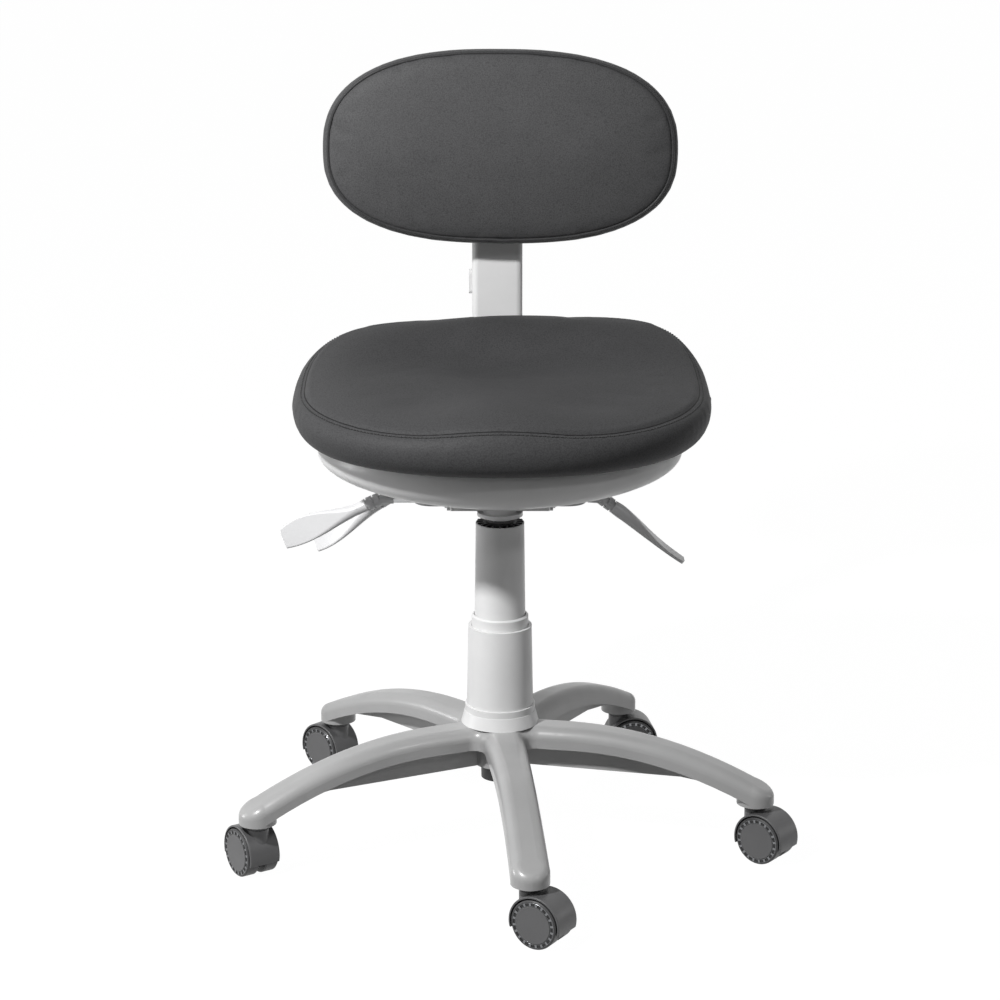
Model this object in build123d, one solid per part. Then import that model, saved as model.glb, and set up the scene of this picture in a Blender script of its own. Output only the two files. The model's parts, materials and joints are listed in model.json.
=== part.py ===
from build123d import *
import os
from math import atan2, cos, degrees, hypot, radians, sin

# A five-legged saddle-topped dentist stool.  Millimetres, +Z up, the origin on the
# floor under the gas lift, the user facing -Y with the backrest on the +Y side.

# ---------------------------------------------------------------- fits
running_gap = 0.05          # radial gap of a turning shaft in its bore
sliding_gap = 0.05          # radial gap of the lift's ground cylinder in its guide
moulded_gap = 0.3           # gap between moulded parts that slide past each other

# ---------------------------------------------------------------- star base
leg_count = 5
front_leg_turn = 6.2        # the front leg's angle from straight ahead, degrees
caster_circle = 270.0       # radius of the caster swivel axes
hub_top = 130.0
leg_root = 62.0             # radius where a leg leaves the hub casting
ridge_flat = 80.0           # radius out to which a leg's ridge runs level
ridge_drop = 48.0           # fall of the ridge from the hub to the caster axis
leg_depth = 21.5            # depth of a leg's side walls
leg_hub_width = 41.0
leg_waist_width = 37.4
leg_tip_width = 38.7
leg_shoulder = 12.0         # rounding along the top of a leg
leg_tip_round = 10.0        # rounding over the end of a leg
leg_skin = 4.0              # thickness of the cast walls
leg_sections = 6            # sections that a leg is lofted through
edge_search = 1.0           # how near an edge must be to where it is looked for
cut_over = 1.0              # how far a cutting block runs past the face it opens
leg_keel_thickness = 4.0
leg_keel_low = 84.0         # lower edge of the keel rib at the hub
leg_keel_knee = 192.0       # radius where the keel's edge starts to rise to the rim
leg_keel_out = 240.0        # radius where the keel rib runs out
keel_stations = 5           # places where the keel is tied to the ridge
leg_keel_fall = 2.0         # how far the keel's edge falls to its knee
valley_radius = 12.0        # rounding between neighbouring legs
tip_foot = 59.0             # underside of the boss that takes a caster stem
tip_hollow_end = 248.0      # radius where the hollow of the leg stops
hub_boss_radius = 27.0
hub_boss_low = 84.0

# ---------------------------------------------------------------- gas lift
stand_radius = 21.0
stand_wall = 1.8
stand_low = 68.0
stand_top = 240.0
stand_floor = 3.0
stand_taper = 1.3           # radius lost over the tapered foot
cylinder_radius = 14.0
cylinder_wall = 1.9
cylinder_low = 152.0
cylinder_crown = 322.0      # top of the gas space
cylinder_top = 373.0
cylinder_cone_start = 346.0
cylinder_cone_loss = 0.7    # radius lost over the top cone
rod_radius = 4.0
rod_low = 61.0
rod_collar_radius = 7.0
rod_collar_height = 3.0
piston_low = 232.0
piston_height = 9.0
seal_height = 16.0
bearing_height = 6.0
bearing_radius = 12.0
bearing_races = 3
bush_length = 78.0
bush_flange = 2.0
clip_height = 1.6
clip_radius = 7.5
clip_drop = 0.4             # play under the stand tube's floor
valve_radius = 2.5
valve_height = 3.6          # how far the valve pin stands out of the cylinder
valve_depth = 12.0

# ---------------------------------------------------------------- telescopic cover
cover_wall = 1.8
cover_low_top = 235.0
cover_low_radius_top = 33.0
cover_low_radius_foot = 34.6
cover_lip_radius = 36.5
cover_lip_low = 143.0
cover_lip_height = 7.0
cover_foot_radius = 40.5
cover_foot_neck = 37.0
cover_mid_radius = 29.5
cover_mid_top = 247.0
cover_mid_length = 60.0
cover_mid_chamfer = 1.5
cover_mid_turn_in = 2.5     # height of the turned-in lip at the top
cover_up_radius_top = 25.0
cover_up_radius_foot = 26.8
cover_up_top = 345.0
cover_up_length = 138.0
cover_up_bore = 23.2
cover_flange_height = 4.0
cover_flange_proud = 0.55
collar_depth = 16.0
collar_flange = 1.5
collar_core_radius = 17.5
collar_teeth = 20
collar_tooth_width = 2.0

# ---------------------------------------------------------------- tilt mechanism
housing_half_width = 50.0
housing_front = -70.0
housing_rear = 92.0
housing_floor = 357.0
housing_nose_low = 377.0    # underside at the front, above the sloping floor
housing_cheek_front = 387.0
housing_cheek_rear = 379.0
housing_wall = 3.0
housing_corner = 9.0
socket_radius = 17.5
socket_top = 370.0
socket_step_radius = 15.2
socket_step_low = 350.0
socket_plate_radius = 23.5
socket_plate_height = 4.0
pin_radius = 4.0
pin_head_radius = 6.5
pin_head_height = 2.0
seat_pivot_y = -52.0
seat_pivot_z = 381.0
back_pivot_y = 72.0
back_pivot_z = 370.0
ear_thickness = 3.0
ear_radius = 9.0
ear_play = 0.4              # side play between the ears and the cheeks
seat_plate_low = 392.0
seat_plate_thickness = 3.0
seat_plate_half_width = 85.0
seat_plate_half_depth = 110.0
seat_plate_corner = 18.0
seat_plate_bead = 2.0       # height of the pressed stiffening beads
seat_plate_bead_width = 12.0
screw_pitch_x = 65.0        # half the spacing of the seat screws across
screw_pitch_y = 85.0        # half the spacing of the seat screws fore and aft
screw_radius = 3.0
screw_head_radius = 5.5
screw_head_height = 3.0
screw_grip = 9.0            # depth of thread in the seat board

# ---------------------------------------------------------------- seat
pan_floor = seat_plate_low + seat_plate_thickness
pan_foot_half_width = 124.0     # where the flat underside ends
pan_foot_half_depth = 132.0
pan_shoulder_half_width = 168.5
pan_shoulder_half_depth = 151.0
pan_shoulder_rise = 9.6         # above the floor
pan_belly_half_width = 183.0
pan_belly_half_depth = 157.5
pan_belly_rise = 11.0           # above the shoulder
pan_rim_half_width = 182.0
pan_rim_half_depth = 155.0
pan_rim_rise = 20.4             # above the belly
pan_wall = 3.0
board_thickness = 12.0
board_half_width = 160.0
board_half_depth = 134.0
board_proud = 0.5               # how far the board stands above the pan's rim
spacer_radius = 9.0
cushion_half_width = 212.5
cushion_half_depth = 195.0
cushion_power = 2.25            # squareness of the cushion's plan
cushion_base_share = 0.92       # size of the base outline over the widest one
cushion_widest_rise = 31.5      # above the board
cushion_seam_share = 0.955
cushion_seam_rise = 27.0        # above the widest line
cushion_crown_share = 0.8
cushion_crown_rise = 6.0        # above the seam
cushion_rake = 8.1              # rise of the top towards the back, degrees
cushion_outline_points = 12
dish_half_width = 140.0
dish_half_depth = 82.0
dish_depth = 13.0
dish_set_back = 50.0            # middle of the dish behind the column

# ---------------------------------------------------------------- back
back_centre = 696.8
back_half_width = 190.5
back_half_height = 106.0
back_power = 2.47           # squareness of the backrest's outline
back_front = 219.0
back_thickness = 43.0
back_edge_round = 15.0
board_back_thickness = 8.0
board_back_inset = 16.0
shell_thickness = 12.0
shell_wall = 3.0
shell_inset = 9.0
shell_edge_round = 8.0
column_x = -3.0
bracket_thickness = 3.0
bracket_half_width = 48.0
bracket_half_height = 32.0
bracket_round = 10.0
bracket_screw_x = 38.0
bracket_screw_z = 22.0
column_half_width = 27.8
column_half_depth = 11.0
column_round = 7.0
column_wall = 3.0
column_foot = 452.0
column_head = 652.0
bar_half_width = 20.0
bar_half_depth = 4.0
bar_head = 610.0
bar_bend_radius = 46.0
bar_eye_radius = 8.0
bar_play = 3.0              # side room of the bar in the tray's back wall
bar_notches = 5
bar_notch_pitch = 14.0
bar_notch_depth = 4.0
bar_notch_height = 7.0
button_height = 27.0
button_centre = 541.5
button_depth = 8.3
button_width = 9.0
button_rest_proud = 1.0     # how far a pressed button still stands out
button_flange = 1.5
button_round = 4.0
button_travel = 2.5         # how far the button goes in before it is flush
column_rib_width = 4.0
column_rib_offset = 12.0

# ---------------------------------------------------------------- levers
lever_rod_radius = 4.0
lever_pivot_x = 30.0        # distance of the lever pivots from the lift
lever_pin_radius = 3.0
lever_eye_radius = 6.0
lever_eye_width = 9.0
lever_lug_thickness = 3.0
lever_lug_gap = 0.5
lever_lug_half_width = 7.0
lever_bend = 14.0
lever_notch_play = 1.8
lever_insert = 26.0         # length of rod inside a paddle
paddle_length = 108.0
paddle_barrel_radius = 6.6
paddle_neck_length = 14.0
paddle_neck_radius = 4.9
paddle_ring_radius = 7.0
paddle_ring_length = 5.5
paddle_ring_pitch = 7.5
paddle_blade_width = 26.0
paddle_blade_thickness = 5.0
paddle_barrel_length = 34.0  # where the barrel starts to flatten
paddle_swell = 72.0         # where the blade is widest
paddle_tip_width = 21.0
paddle_tip_round = 9.0
paddle_tip_thickness = 3.6
paddle_edge_share = 0.488    # edge rounding of a section over its thickness
paddle_sag = 2.0            # offset of the blade to its back
paddle_lean = 2.5           # offset of the blade to its lower edge
thumb_reach = 3.0           # how far the height lever's thumb passes the valve
thumb_thickness = 3.0
thumb_width = 9.0
thumb_gap = 0.4
# name: side, y of the pivot, rod height, reach of the knee, slope, splay, twist
levers = {
    "seat_lever": (-1, -30.0, 378.0, 122.0, 24.5, 0.0, 72.0),
    "back_lever": (-1, 10.0, 371.0, 112.0, 35.5, 23.0, 60.0),
    "height_lever": (1, 0.0, 371.0, 104.0, 37.0, 0.0, 0.0),
}

# ---------------------------------------------------------------- casters
wheel_radius = 25.0
wheel_outer_face = 18.5     # from the caster's middle plane
wheel_inner_face = 3.9
wheel_edge = 1.2
wheel_dish_radius = 19.0
wheel_dish_depth = 7.0
wheel_hub_radius = 6.5
cap_radius = 19.4
cap_groove = 0.6
ring_radius = 23.2
ring_depth = 0.9            # depth of the ring's face below the cap
ring_windows = 20
window_length = 3.2
window_width = 1.7
window_depth = 1.0
axle_radius = 3.0
axle_half_length = 14.0
caster_trail = 14.0
hood_half_width = 17.0
hood_radius = 28.5
hood_wall = 1.8
hood_edge_round = 1.0
hood_skirt = 7.5            # how far the hood reaches below the axle
hood_web = 6.8
hood_neck_radius = 11.0
hood_neck_top = 53.4
stem_radius = 5.5
stem_length = 17.0          # length of stem inside the leg's boss
stem_collar_radius = 10.6
stem_socket_depth = 2.5
stem_float = 0.1            # play between the stem's collar and the neck
kingpin_radius = 2.0
kingpin_depth = 16.0
# where each caster trails, seen from above, front leg first, degrees
caster_trails = (-32.0, -37.0, 8.0, 137.0, 124.0)


def turned(*outline):
    """Solid turned about Z from (radius, height) corners."""
    return revolve(Plane.XZ * make_face(Polyline(*outline, close=True)), Axis.Z)


def tube(outer, inner, low, high):
    """Straight round tube between two heights."""
    return turned((inner, low), (outer, low), (outer, high), (inner, high))


def post(radius, low, high):
    """Upright cylinder between two heights."""
    return Pos(0, 0, (low + high) / 2) * Cylinder(radius, high - low)


def cross_pin(radius, y, z, start, end):
    """Cylinder along X between two stations."""
    middle = (start + end) / 2
    return Pos(middle, y, z) * Rot(0, 90, 0) * Cylinder(radius, end - start)


def block(x_span, y_span, z_span):
    """Box between pairs of limits."""
    size = [high - low for low, high in (x_span, y_span, z_span)]
    centre = [(high + low) / 2 for low, high in (x_span, y_span, z_span)]
    return Pos(*centre) * Box(*size)


def superellipse(half_x, half_y, power, count):
    """Closed smooth outline with |x/a|^n + |y/b|^n = 1."""
    points = []
    for step in range(count):
        angle = radians(360 * step / count)
        c, s = cos(angle), sin(angle)
        x = half_x * abs(c) ** (2 / power) * (1 if c >= 0 else -1)
        y = half_y * abs(s) ** (2 / power) * (1 if s >= 0 else -1)
        points.append((x, y))
    return make_face(Spline(*points, periodic=True))


# ---------------------------------------------------------------- star base
def ridge_height(reach):
    """Height of a leg's ridge: level, then falling as a parabola."""
    share = max(0.0, (reach - ridge_flat) / (caster_circle - ridge_flat))
    return hub_top - ridge_drop * share ** 2


def leg_width(reach):
    """Leg width: a parabola through the hub, waist and tip widths."""
    share = (reach - leg_root) / (caster_circle - leg_root)
    slope = 4 * leg_waist_width - 3 * leg_hub_width - leg_tip_width
    bend = 2 * (leg_hub_width + leg_tip_width - 2 * leg_waist_width)
    return leg_hub_width + slope * share + bend * share ** 2


def arm_section(reach, width, low, high, shoulder):
    """Upright section across a leg, rounded along its two upper edges."""
    plane = Plane(origin=(reach, 0, 0), x_dir=(0, 1, 0), z_dir=(1, 0, 0))
    outline = Pos(0, (low + high) / 2) * Rectangle(width, high - low)
    return plane * fillet(outline.vertices().group_by(Axis.Y)[-1], shoulder)


def leg_blank(inset, end, drop):
    """One leg along +X as a solid bar, inset from its outer faces."""
    sections = []
    for index in range(leg_sections):
        reach = leg_root + (end - leg_root) * index / (leg_sections - 1)
        high = ridge_height(reach) - inset
        low = ridge_height(reach) - leg_depth - drop
        shoulder = leg_shoulder - inset
        sections.append(arm_section(reach, leg_width(reach) - 2 * inset, low, high, shoulder))
    return loft(sections)


def hub_blank(inset, drop):
    """The middle of the star out to the legs' roots, with rounded valleys."""
    half = leg_hub_width / 2 - inset
    arm = Pos(leg_root / 2, 0) * Rectangle(leg_root, 2 * half)
    plan = Circle(half)
    for index in range(leg_count):
        plan += Rot(0, 0, 360 * index / leg_count) * arm
    corner_reach = half / sin(radians(180 / leg_count))
    valleys = [v for v in plan.vertices() if abs(hypot(v.X, v.Y) - corner_reach) < edge_search]
    plan = fillet(valleys, valley_radius + inset)
    low = hub_top - leg_depth - drop
    high = hub_top - inset
    body = Pos(0, 0, low) * extrude(plan, high - low)
    rim = [e for e in body.edges().group_by(Axis.Z)[-1] if not is_root_edge(e)]
    return fillet(rim, leg_shoulder - inset)


def is_root_edge(edge):
    """True for the straight edge where a leg leaves the hub."""
    middle = edge @ 0.5
    return abs(hypot(middle.X, middle.Y) - leg_root) < edge_search


def leg_tip():
    """Solid boss at the end of a leg, its dome following the ridge."""
    radius = leg_tip_width / 2
    crown = ridge_height(caster_circle)
    lean = degrees(atan2(2 * ridge_drop, caster_circle - ridge_flat))
    boss = Pos(caster_circle, 0, 0) * post(radius, tip_foot, hub_top)
    roof = Plane(origin=(caster_circle, 0, crown), z_dir=(sin(radians(lean)), 0, cos(radians(lean))))
    boss = split(boss, roof, keep=Keep.BOTTOM)
    roof_edge = boss.edges().filter_by(GeomType.ELLIPSE)
    return fillet(roof_edge, leg_tip_round)


def leg_keel():
    """Rib down the middle of a leg's hollow."""
    half = leg_keel_thickness / 2
    low_start = leg_keel_low
    low_end = ridge_height(leg_keel_out) - leg_depth
    stride = (tip_hollow_end - leg_root) / (keel_stations - 1)
    stations = [leg_root + stride * step for step in range(keel_stations)]
    crest = [(reach, ridge_height(reach) - leg_skin / 2) for reach in stations]
    outline = Polyline(
        (hub_boss_radius - half, hub_top - leg_skin / 2),
        (hub_boss_radius - half, low_start),
        (leg_keel_knee, low_start - leg_keel_fall),
        (leg_keel_out, low_end),
        (tip_hollow_end + half, ridge_height(tip_hollow_end) - leg_depth),
        crest[-1],
    )
    roof = Spline(*crest[::-1]) + Line(crest[0], (hub_boss_radius - half, hub_top - leg_skin / 2))
    face = Plane.XZ * make_face(outline + roof)
    return Pos(0, half, 0) * extrude(face, leg_keel_thickness)


def base_star():
    """Cast star: hub, five hollow legs with keel ribs, and stem bosses."""
    outside = hub_blank(0, 0)
    hollow = hub_blank(leg_skin, leg_depth)
    leg = leg_blank(0, caster_circle, 0)
    trough = leg_blank(leg_skin, tip_hollow_end, leg_depth)
    extras = leg_tip() + leg_keel()
    for index in range(leg_count):
        turn = Rot(0, 0, 360 * index / leg_count)
        outside += turn * leg
        hollow += turn * trough
    star = outside - hollow
    for index in range(leg_count):
        star += Rot(0, 0, 360 * index / leg_count) * extras
    star += post(hub_boss_radius, hub_boss_low, hub_top - leg_skin / 2)
    star -= stand_cone()
    socket = Pos(caster_circle, 0, 0) * post(stem_radius, tip_foot, tip_foot + stem_length)
    for index in range(leg_count):
        star -= Rot(0, 0, 360 * index / leg_count) * socket
    return Rot(0, 0, front_leg_turn - 90) * star


def stand_cone():
    """Outside of the stand tube's tapered foot."""
    foot = stand_radius - stand_taper
    return turned((0, stand_low), (foot, stand_low), (stand_radius, hub_top), (0, hub_top))


# ---------------------------------------------------------------- gas lift
def stand_tube():
    """Outer tube of the gas lift with its tapered foot and pierced floor."""
    bore = stand_radius - stand_wall
    foot_bore = bore - stand_taper
    shell = stand_cone() + post(stand_radius, hub_top, stand_top)
    shell -= post(foot_bore, stand_low + stand_floor, hub_top)
    shell -= post(bore, hub_top, stand_top)
    return shell - post(rod_radius + running_gap, stand_low, stand_low + stand_floor)


def guide_bush():
    """Plastic bush that guides the cylinder in the stand tube."""
    sleeve = post(stand_radius - stand_wall, stand_top - bush_length, stand_top)
    flange = post(stand_radius, stand_top, stand_top + bush_flange)
    bore = post(cylinder_radius + sliding_gap, stand_low, stand_top + bush_flange)
    return sleeve + flange - bore


def thrust_bearing():
    """Ball thrust bearing: two washers with a ring of balls between them."""
    low = stand_low + stand_floor
    washer = bearing_height / bearing_races
    inner = rod_radius + running_gap
    lower = tube(bearing_radius, inner, low, low + washer)
    upper = tube(bearing_radius, inner, low + 2 * washer, low + bearing_height)
    mean_radius = (bearing_radius + inner) / 2
    cage = tube(mean_radius + washer / 2, mean_radius - washer / 2, low + washer, low + 2 * washer)
    return lower + cage + upper


def retaining_clip():
    """Split spring clip that holds the rod in the foot of the stand tube."""
    high = stand_low - clip_drop
    clip = tube(clip_radius, rod_radius, high - clip_height, high)
    slot_half = rod_radius / 2
    return clip - block((0, 2 * clip_radius), (-slot_half, slot_half), (stand_low / 2, high))


def piston_rod():
    """Rod fixed at the foot, with its collar on the bearing and the piston on top."""
    rod = post(rod_radius, rod_low, piston_low + piston_height)
    seat = stand_low + stand_floor + bearing_height
    rod += post(rod_collar_radius, seat, seat + rod_collar_height)
    head = post(cylinder_radius - cylinder_wall - sliding_gap, piston_low, piston_low + piston_height)
    return rod + head


def rod_seal():
    """Seal and guide that close the foot of the cylinder round the rod."""
    bore = cylinder_radius - cylinder_wall
    return tube(bore, rod_radius + running_gap, cylinder_low, cylinder_low + seal_height)


def gas_cylinder():
    """Pressure cylinder that slides in the bush, its coned head in the socket."""
    cone = cylinder_radius - cylinder_cone_loss
    body = turned(
        (0, cylinder_low),
        (cylinder_radius, cylinder_low),
        (cylinder_radius, cylinder_cone_start),
        (cone, cylinder_top),
        (0, cylinder_top),
    )
    body -= post(cylinder_radius - cylinder_wall, cylinder_low, cylinder_crown)
    return body - post(valve_radius + running_gap, cylinder_top - valve_depth, cylinder_top)


def valve_pin():
    """Release pin pressed by the height lever's thumb."""
    stroke_room = valve_depth / 2
    return post(valve_radius, cylinder_top - valve_depth + stroke_room, cylinder_top + valve_height)


# ---------------------------------------------------------------- telescopic cover
def cover_lower():
    """Bottom cover tube with its moulded lip and flared foot."""
    lip_high = cover_lip_low + cover_lip_height
    inner_top = cover_low_radius_top - cover_wall
    inner_foot = cover_low_radius_foot - cover_wall
    mouth = cover_mid_radius + moulded_gap
    return turned(
        (mouth, cover_low_top),
        (cover_low_radius_top, cover_low_top),
        (cover_low_radius_foot, lip_high),
        (cover_lip_radius, lip_high),
        (cover_lip_radius, cover_lip_low),
        (cover_foot_neck, cover_lip_low),
        (cover_foot_radius, hub_top),
        (cover_foot_radius - cover_wall, hub_top),
        (inner_foot, cover_lip_low),
        (inner_top, cover_low_top - cover_wall),
        (mouth, cover_low_top - cover_wall),
    )


def cover_middle():
    """Middle cover tube: turned-in lip above, guide ring below."""
    low = cover_mid_top - cover_mid_length
    inner = cover_mid_radius - cover_wall
    lip = cover_up_radius_foot + moulded_gap
    guide = cover_mid_radius + moulded_gap + cover_flange_proud
    ring_high = low + cover_flange_height
    return turned(
        (inner, low),
        (guide, low),
        (guide, ring_high),
        (cover_mid_radius, ring_high),
        (cover_mid_radius, cover_mid_top - cover_mid_chamfer),
        (cover_mid_radius - cover_mid_chamfer, cover_mid_top),
        (lip, cover_mid_top),
        (lip, cover_mid_top - cover_mid_turn_in),
        (inner, cover_mid_top - cover_mid_turn_in),
    )


def cover_upper():
    """Top cover tube, tapered outside, with a guide ring at its foot."""
    low = cover_up_top - cover_up_length
    ring_high = low + cover_flange_height
    guide = cover_up_radius_foot + cover_flange_proud
    return turned(
        (cover_up_bore, low),
        (guide, low),
        (guide, ring_high),
        (cover_up_radius_foot, ring_high),
        (cover_up_radius_top, cover_up_top),
        (cover_up_bore, cover_up_top),
    )


def cover_collar():
    """Toothed collar that hangs the top cover on the cylinder."""
    rim = (cover_up_bore + cover_up_radius_top) / 2
    low = cover_up_top - collar_depth
    core = tube(collar_core_radius, cylinder_radius, low, cover_up_top + collar_flange)
    floor = tube(cover_up_bore, cylinder_radius, low, low + cover_wall)
    tooth_reach = (collar_core_radius - collar_flange, cover_up_bore - moulded_gap)
    half = collar_tooth_width / 2
    tooth = block(tooth_reach, (-half, half), (low, cover_up_top + collar_flange))
    hook = block((collar_core_radius, rim), (-half, half), (cover_up_top, cover_up_top + collar_flange))
    collar = core + floor
    for index in range(collar_teeth):
        collar += Rot(0, 0, 360 * index / collar_teeth) * (tooth + hook)
    return collar


# ---------------------------------------------------------------- tilt mechanism
def mechanism_housing():
    """Pressed steel tray with sloping cheeks, lift socket and lever lugs."""
    plan = Pos(0, (housing_front + housing_rear) / 2) * RectangleRounded(
        2 * housing_half_width, housing_rear - housing_front, housing_corner
    )
    tray = Pos(0, 0, housing_floor) * extrude(plan, housing_cheek_front - housing_floor)
    inside = offset(plan, -housing_wall)
    tray -= Pos(0, 0, housing_floor + housing_wall) * extrude(inside, housing_cheek_front)
    tray -= slope_cutter()
    tray += nose_floor()
    for spec in levers.values():
        tray += lever_lugs(spec)
        tray -= lever_notch(spec)
    tray -= nose_cutter(0)
    tray += socket_outside()
    tray -= lift_cone()
    pin_reach = (-2 * housing_half_width, 2 * housing_half_width)
    tray -= cross_pin(pin_radius, seat_pivot_y, seat_pivot_z, *pin_reach)
    tray -= cross_pin(pin_radius, back_pivot_y, back_pivot_z, *pin_reach)
    return tray - arm_notch()


def arm_notch():
    """Opening in the tray's back wall where the back bar swings."""
    x_span = (column_x - bar_half_width - bar_play, column_x + bar_half_width + bar_play)
    y_span = (housing_rear - 2 * housing_wall, housing_rear + housing_wall)
    return block(x_span, y_span, (housing_floor + housing_wall, housing_cheek_front))


def slope_cutter():
    """Wedge that slopes the cheeks down towards the back."""
    reach = 2 * housing_half_width
    outline = Polyline(
        (0, housing_cheek_front),
        (housing_rear, housing_cheek_rear),
        (housing_rear + housing_wall, housing_cheek_rear),
        (housing_rear + housing_wall, housing_cheek_front + housing_wall),
        (0, housing_cheek_front + housing_wall),
        close=True,
    )
    return Pos(-reach / 2, 0, 0) * extrude(Plane.YZ * make_face(outline), reach)


def nose_cutter(rise):
    """Wedge below the tray's sloping nose, lifted by a rise."""
    reach = 2 * housing_half_width
    outline = Polyline(
        (0, housing_floor + rise),
        (housing_front - housing_wall, housing_nose_low + rise),
        (housing_front - housing_wall, 0),
        (0, 0),
        close=True,
    )
    return Pos(-reach / 2, 0, 0) * extrude(Plane.YZ * make_face(outline), reach)


def nose_floor():
    """Sloping floor under the front of the tray."""
    half = housing_half_width - housing_wall / 2
    room = block((-half, half), (housing_front + housing_wall / 2, 0), (housing_floor, housing_cheek_front))
    return (room & nose_cutter(housing_wall)) - nose_cutter(0)


def socket_outside():
    """Lift socket: tube in the tray, plate and step below it."""
    return turned(
        (0, socket_step_low),
        (socket_step_radius, socket_step_low),
        (socket_step_radius, housing_floor - socket_plate_height),
        (socket_plate_radius, housing_floor - socket_plate_height),
        (socket_plate_radius, housing_floor),
        (socket_radius, housing_floor),
        (socket_radius, socket_top),
        (0, socket_top),
    )


def lift_cone():
    """Space for the cylinder's coned head."""
    slope = cylinder_cone_loss / (cylinder_top - cylinder_cone_start)
    low_radius = cylinder_radius - slope * (socket_step_low - cylinder_cone_start)
    high_radius = cylinder_radius - cylinder_cone_loss
    foot = (low_radius, socket_step_low)
    head = (high_radius, cylinder_top)
    return turned((0, socket_step_low), foot, head, (0, cylinder_top))


def lever_lugs(spec):
    """Two lugs on the tray's floor that hold one lever's pivot pin."""
    side, y, height = spec[:3]
    x = side * lever_pivot_x
    gap = lever_eye_width / 2 + lever_lug_gap
    bore = Pos(x, y, height) * Rot(90, 0, 0) * Cylinder(lever_pin_radius, 2 * lever_eye_width + 2 * gap)
    lugs = None
    for near in (-1, 1):
        inner, outer = y + near * gap, y + near * (gap + lever_lug_thickness)
        span = (min(inner, outer), max(inner, outer))
        x_span = (x - lever_lug_half_width, x + lever_lug_half_width)
        lug = block(x_span, span, (housing_floor + housing_wall / 2, height))
        ear = Pos(x, (inner + outer) / 2, height) * Rot(90, 0, 0)
        lug += ear * Cylinder(lever_lug_half_width, lever_lug_thickness)
        lugs = lug if lugs is None else lugs + lug
    return lugs - bore


def lever_notch(spec):
    """Open notch in the cheek where a lever's rod comes out."""
    side, y, height = spec[:3]
    half = lever_rod_radius + lever_notch_play
    inner = side * (housing_half_width - 2 * housing_wall)
    outer = side * (housing_half_width + housing_wall)
    x_span = sorted((inner, outer))
    return block(x_span, (y - half, y + half), (height - half, housing_cheek_front + housing_wall))


def pivot_pins():
    """Two identical headed pins along X: the seat's and the back's."""
    reach = ear_reach() + moulded_gap
    pins = []
    for y, z in ((seat_pivot_y, seat_pivot_z), (back_pivot_y, back_pivot_z)):
        pin = cross_pin(pin_radius, y, z, -reach, reach)
        for side in (-1, 1):
            ends = sorted((side * reach, side * (reach + pin_head_height)))
            pin += cross_pin(pin_head_radius, y, z, *ends)
        pins.append(pin)
    return Compound(children=pins)


def ear_reach():
    """Outer face of the ears that hang beside the cheeks."""
    return housing_half_width + ear_play + ear_thickness


def seat_plate():
    """Pressed plate under the pan with beads and two pivot ears."""
    plan = RectangleRounded(2 * seat_plate_half_width, 2 * seat_plate_half_depth, seat_plate_corner)
    plate = Pos(0, 0, seat_plate_low) * extrude(plan, seat_plate_thickness)
    bead_offset = (seat_plate_half_width + housing_half_width) / 2
    bead_plan = SlotOverall(seat_plate_half_depth, seat_plate_bead_width)
    bead = Pos(0, 0, seat_plate_low - seat_plate_bead) * extrude(bead_plan, seat_plate_bead)
    inner = housing_half_width + ear_play
    for side in (-1, 1):
        plate += Pos(side * bead_offset, 0, 0) * Rot(0, 0, 90) * bead
        x_span = sorted((side * inner, side * (inner + ear_thickness)))
        y_span = (seat_pivot_y - ear_radius, seat_pivot_y + ear_radius)
        plate += block(x_span, y_span, (seat_pivot_z, seat_plate_low + seat_plate_thickness / 2))
        plate += cross_pin(ear_radius, seat_pivot_y, seat_pivot_z, *x_span)
    reach = (-2 * inner, 2 * inner)
    plate -= cross_pin(pin_radius + running_gap, seat_pivot_y, seat_pivot_z, *reach)
    for x, y in screw_places():
        plate -= Pos(x, y, 0) * post(screw_radius, 0, seat_plate_low + 2 * seat_plate_thickness)
    return plate


def screw_places():
    """Corners of the seat screws' pattern."""
    return [(sx * screw_pitch_x, sy * screw_pitch_y) for sx in (-1, 1) for sy in (-1, 1)]


def seat_screws():
    """Four screws from the plate up through the pan into the board."""
    head_low = seat_plate_low - screw_head_height
    screw = post(screw_radius, head_low, board_low() + screw_grip)
    screw += post(screw_head_radius, head_low, seat_plate_low)
    return Compound(children=[Pos(x, y, 0) * screw for x, y in screw_places()])


# ---------------------------------------------------------------- seat
def rim_height():
    """Top edge of the pan."""
    return pan_floor + pan_shoulder_rise + pan_belly_rise + pan_rim_rise


def board_top():
    """Upper face of the board, where the cushion sits."""
    return rim_height() + board_proud


def board_low():
    """Underside of the board, on the pan's spacers."""
    return board_top() - board_thickness


def pan_body(wall):
    """The pan as a solid bowl of oval levels, drawn in by a wall."""
    shoulder = pan_floor + pan_shoulder_rise
    levels = (
        (pan_foot_half_width, pan_foot_half_depth, pan_floor + wall),
        (pan_shoulder_half_width, pan_shoulder_half_depth, shoulder + wall),
        (pan_belly_half_width, pan_belly_half_depth, shoulder + pan_belly_rise),
        (pan_rim_half_width, pan_rim_half_depth, rim_height()),
    )
    return loft([Pos(0, 0, high) * Ellipse(wide - wall, deep - wall) for wide, deep, high in levels])


def seat_pan():
    """Moulded oval pan under the cushion with its screw bosses."""
    pan = pan_body(0) - pan_body(pan_wall)
    for x, y in screw_places():
        pan += Pos(x, y, 0) * post(spacer_radius, pan_floor + pan_wall / 2, board_low())
        pan -= Pos(x, y, 0) * post(screw_radius + running_gap, pan_floor, board_low())
    return pan


def seat_board():
    """Plywood board that carries the cushion."""
    board = Pos(0, 0, board_low()) * extrude(Ellipse(board_half_width, board_half_depth), board_thickness)
    for x, y in screw_places():
        board -= Pos(x, y, 0) * post(screw_radius, board_low(), board_top())
    return board


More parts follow.
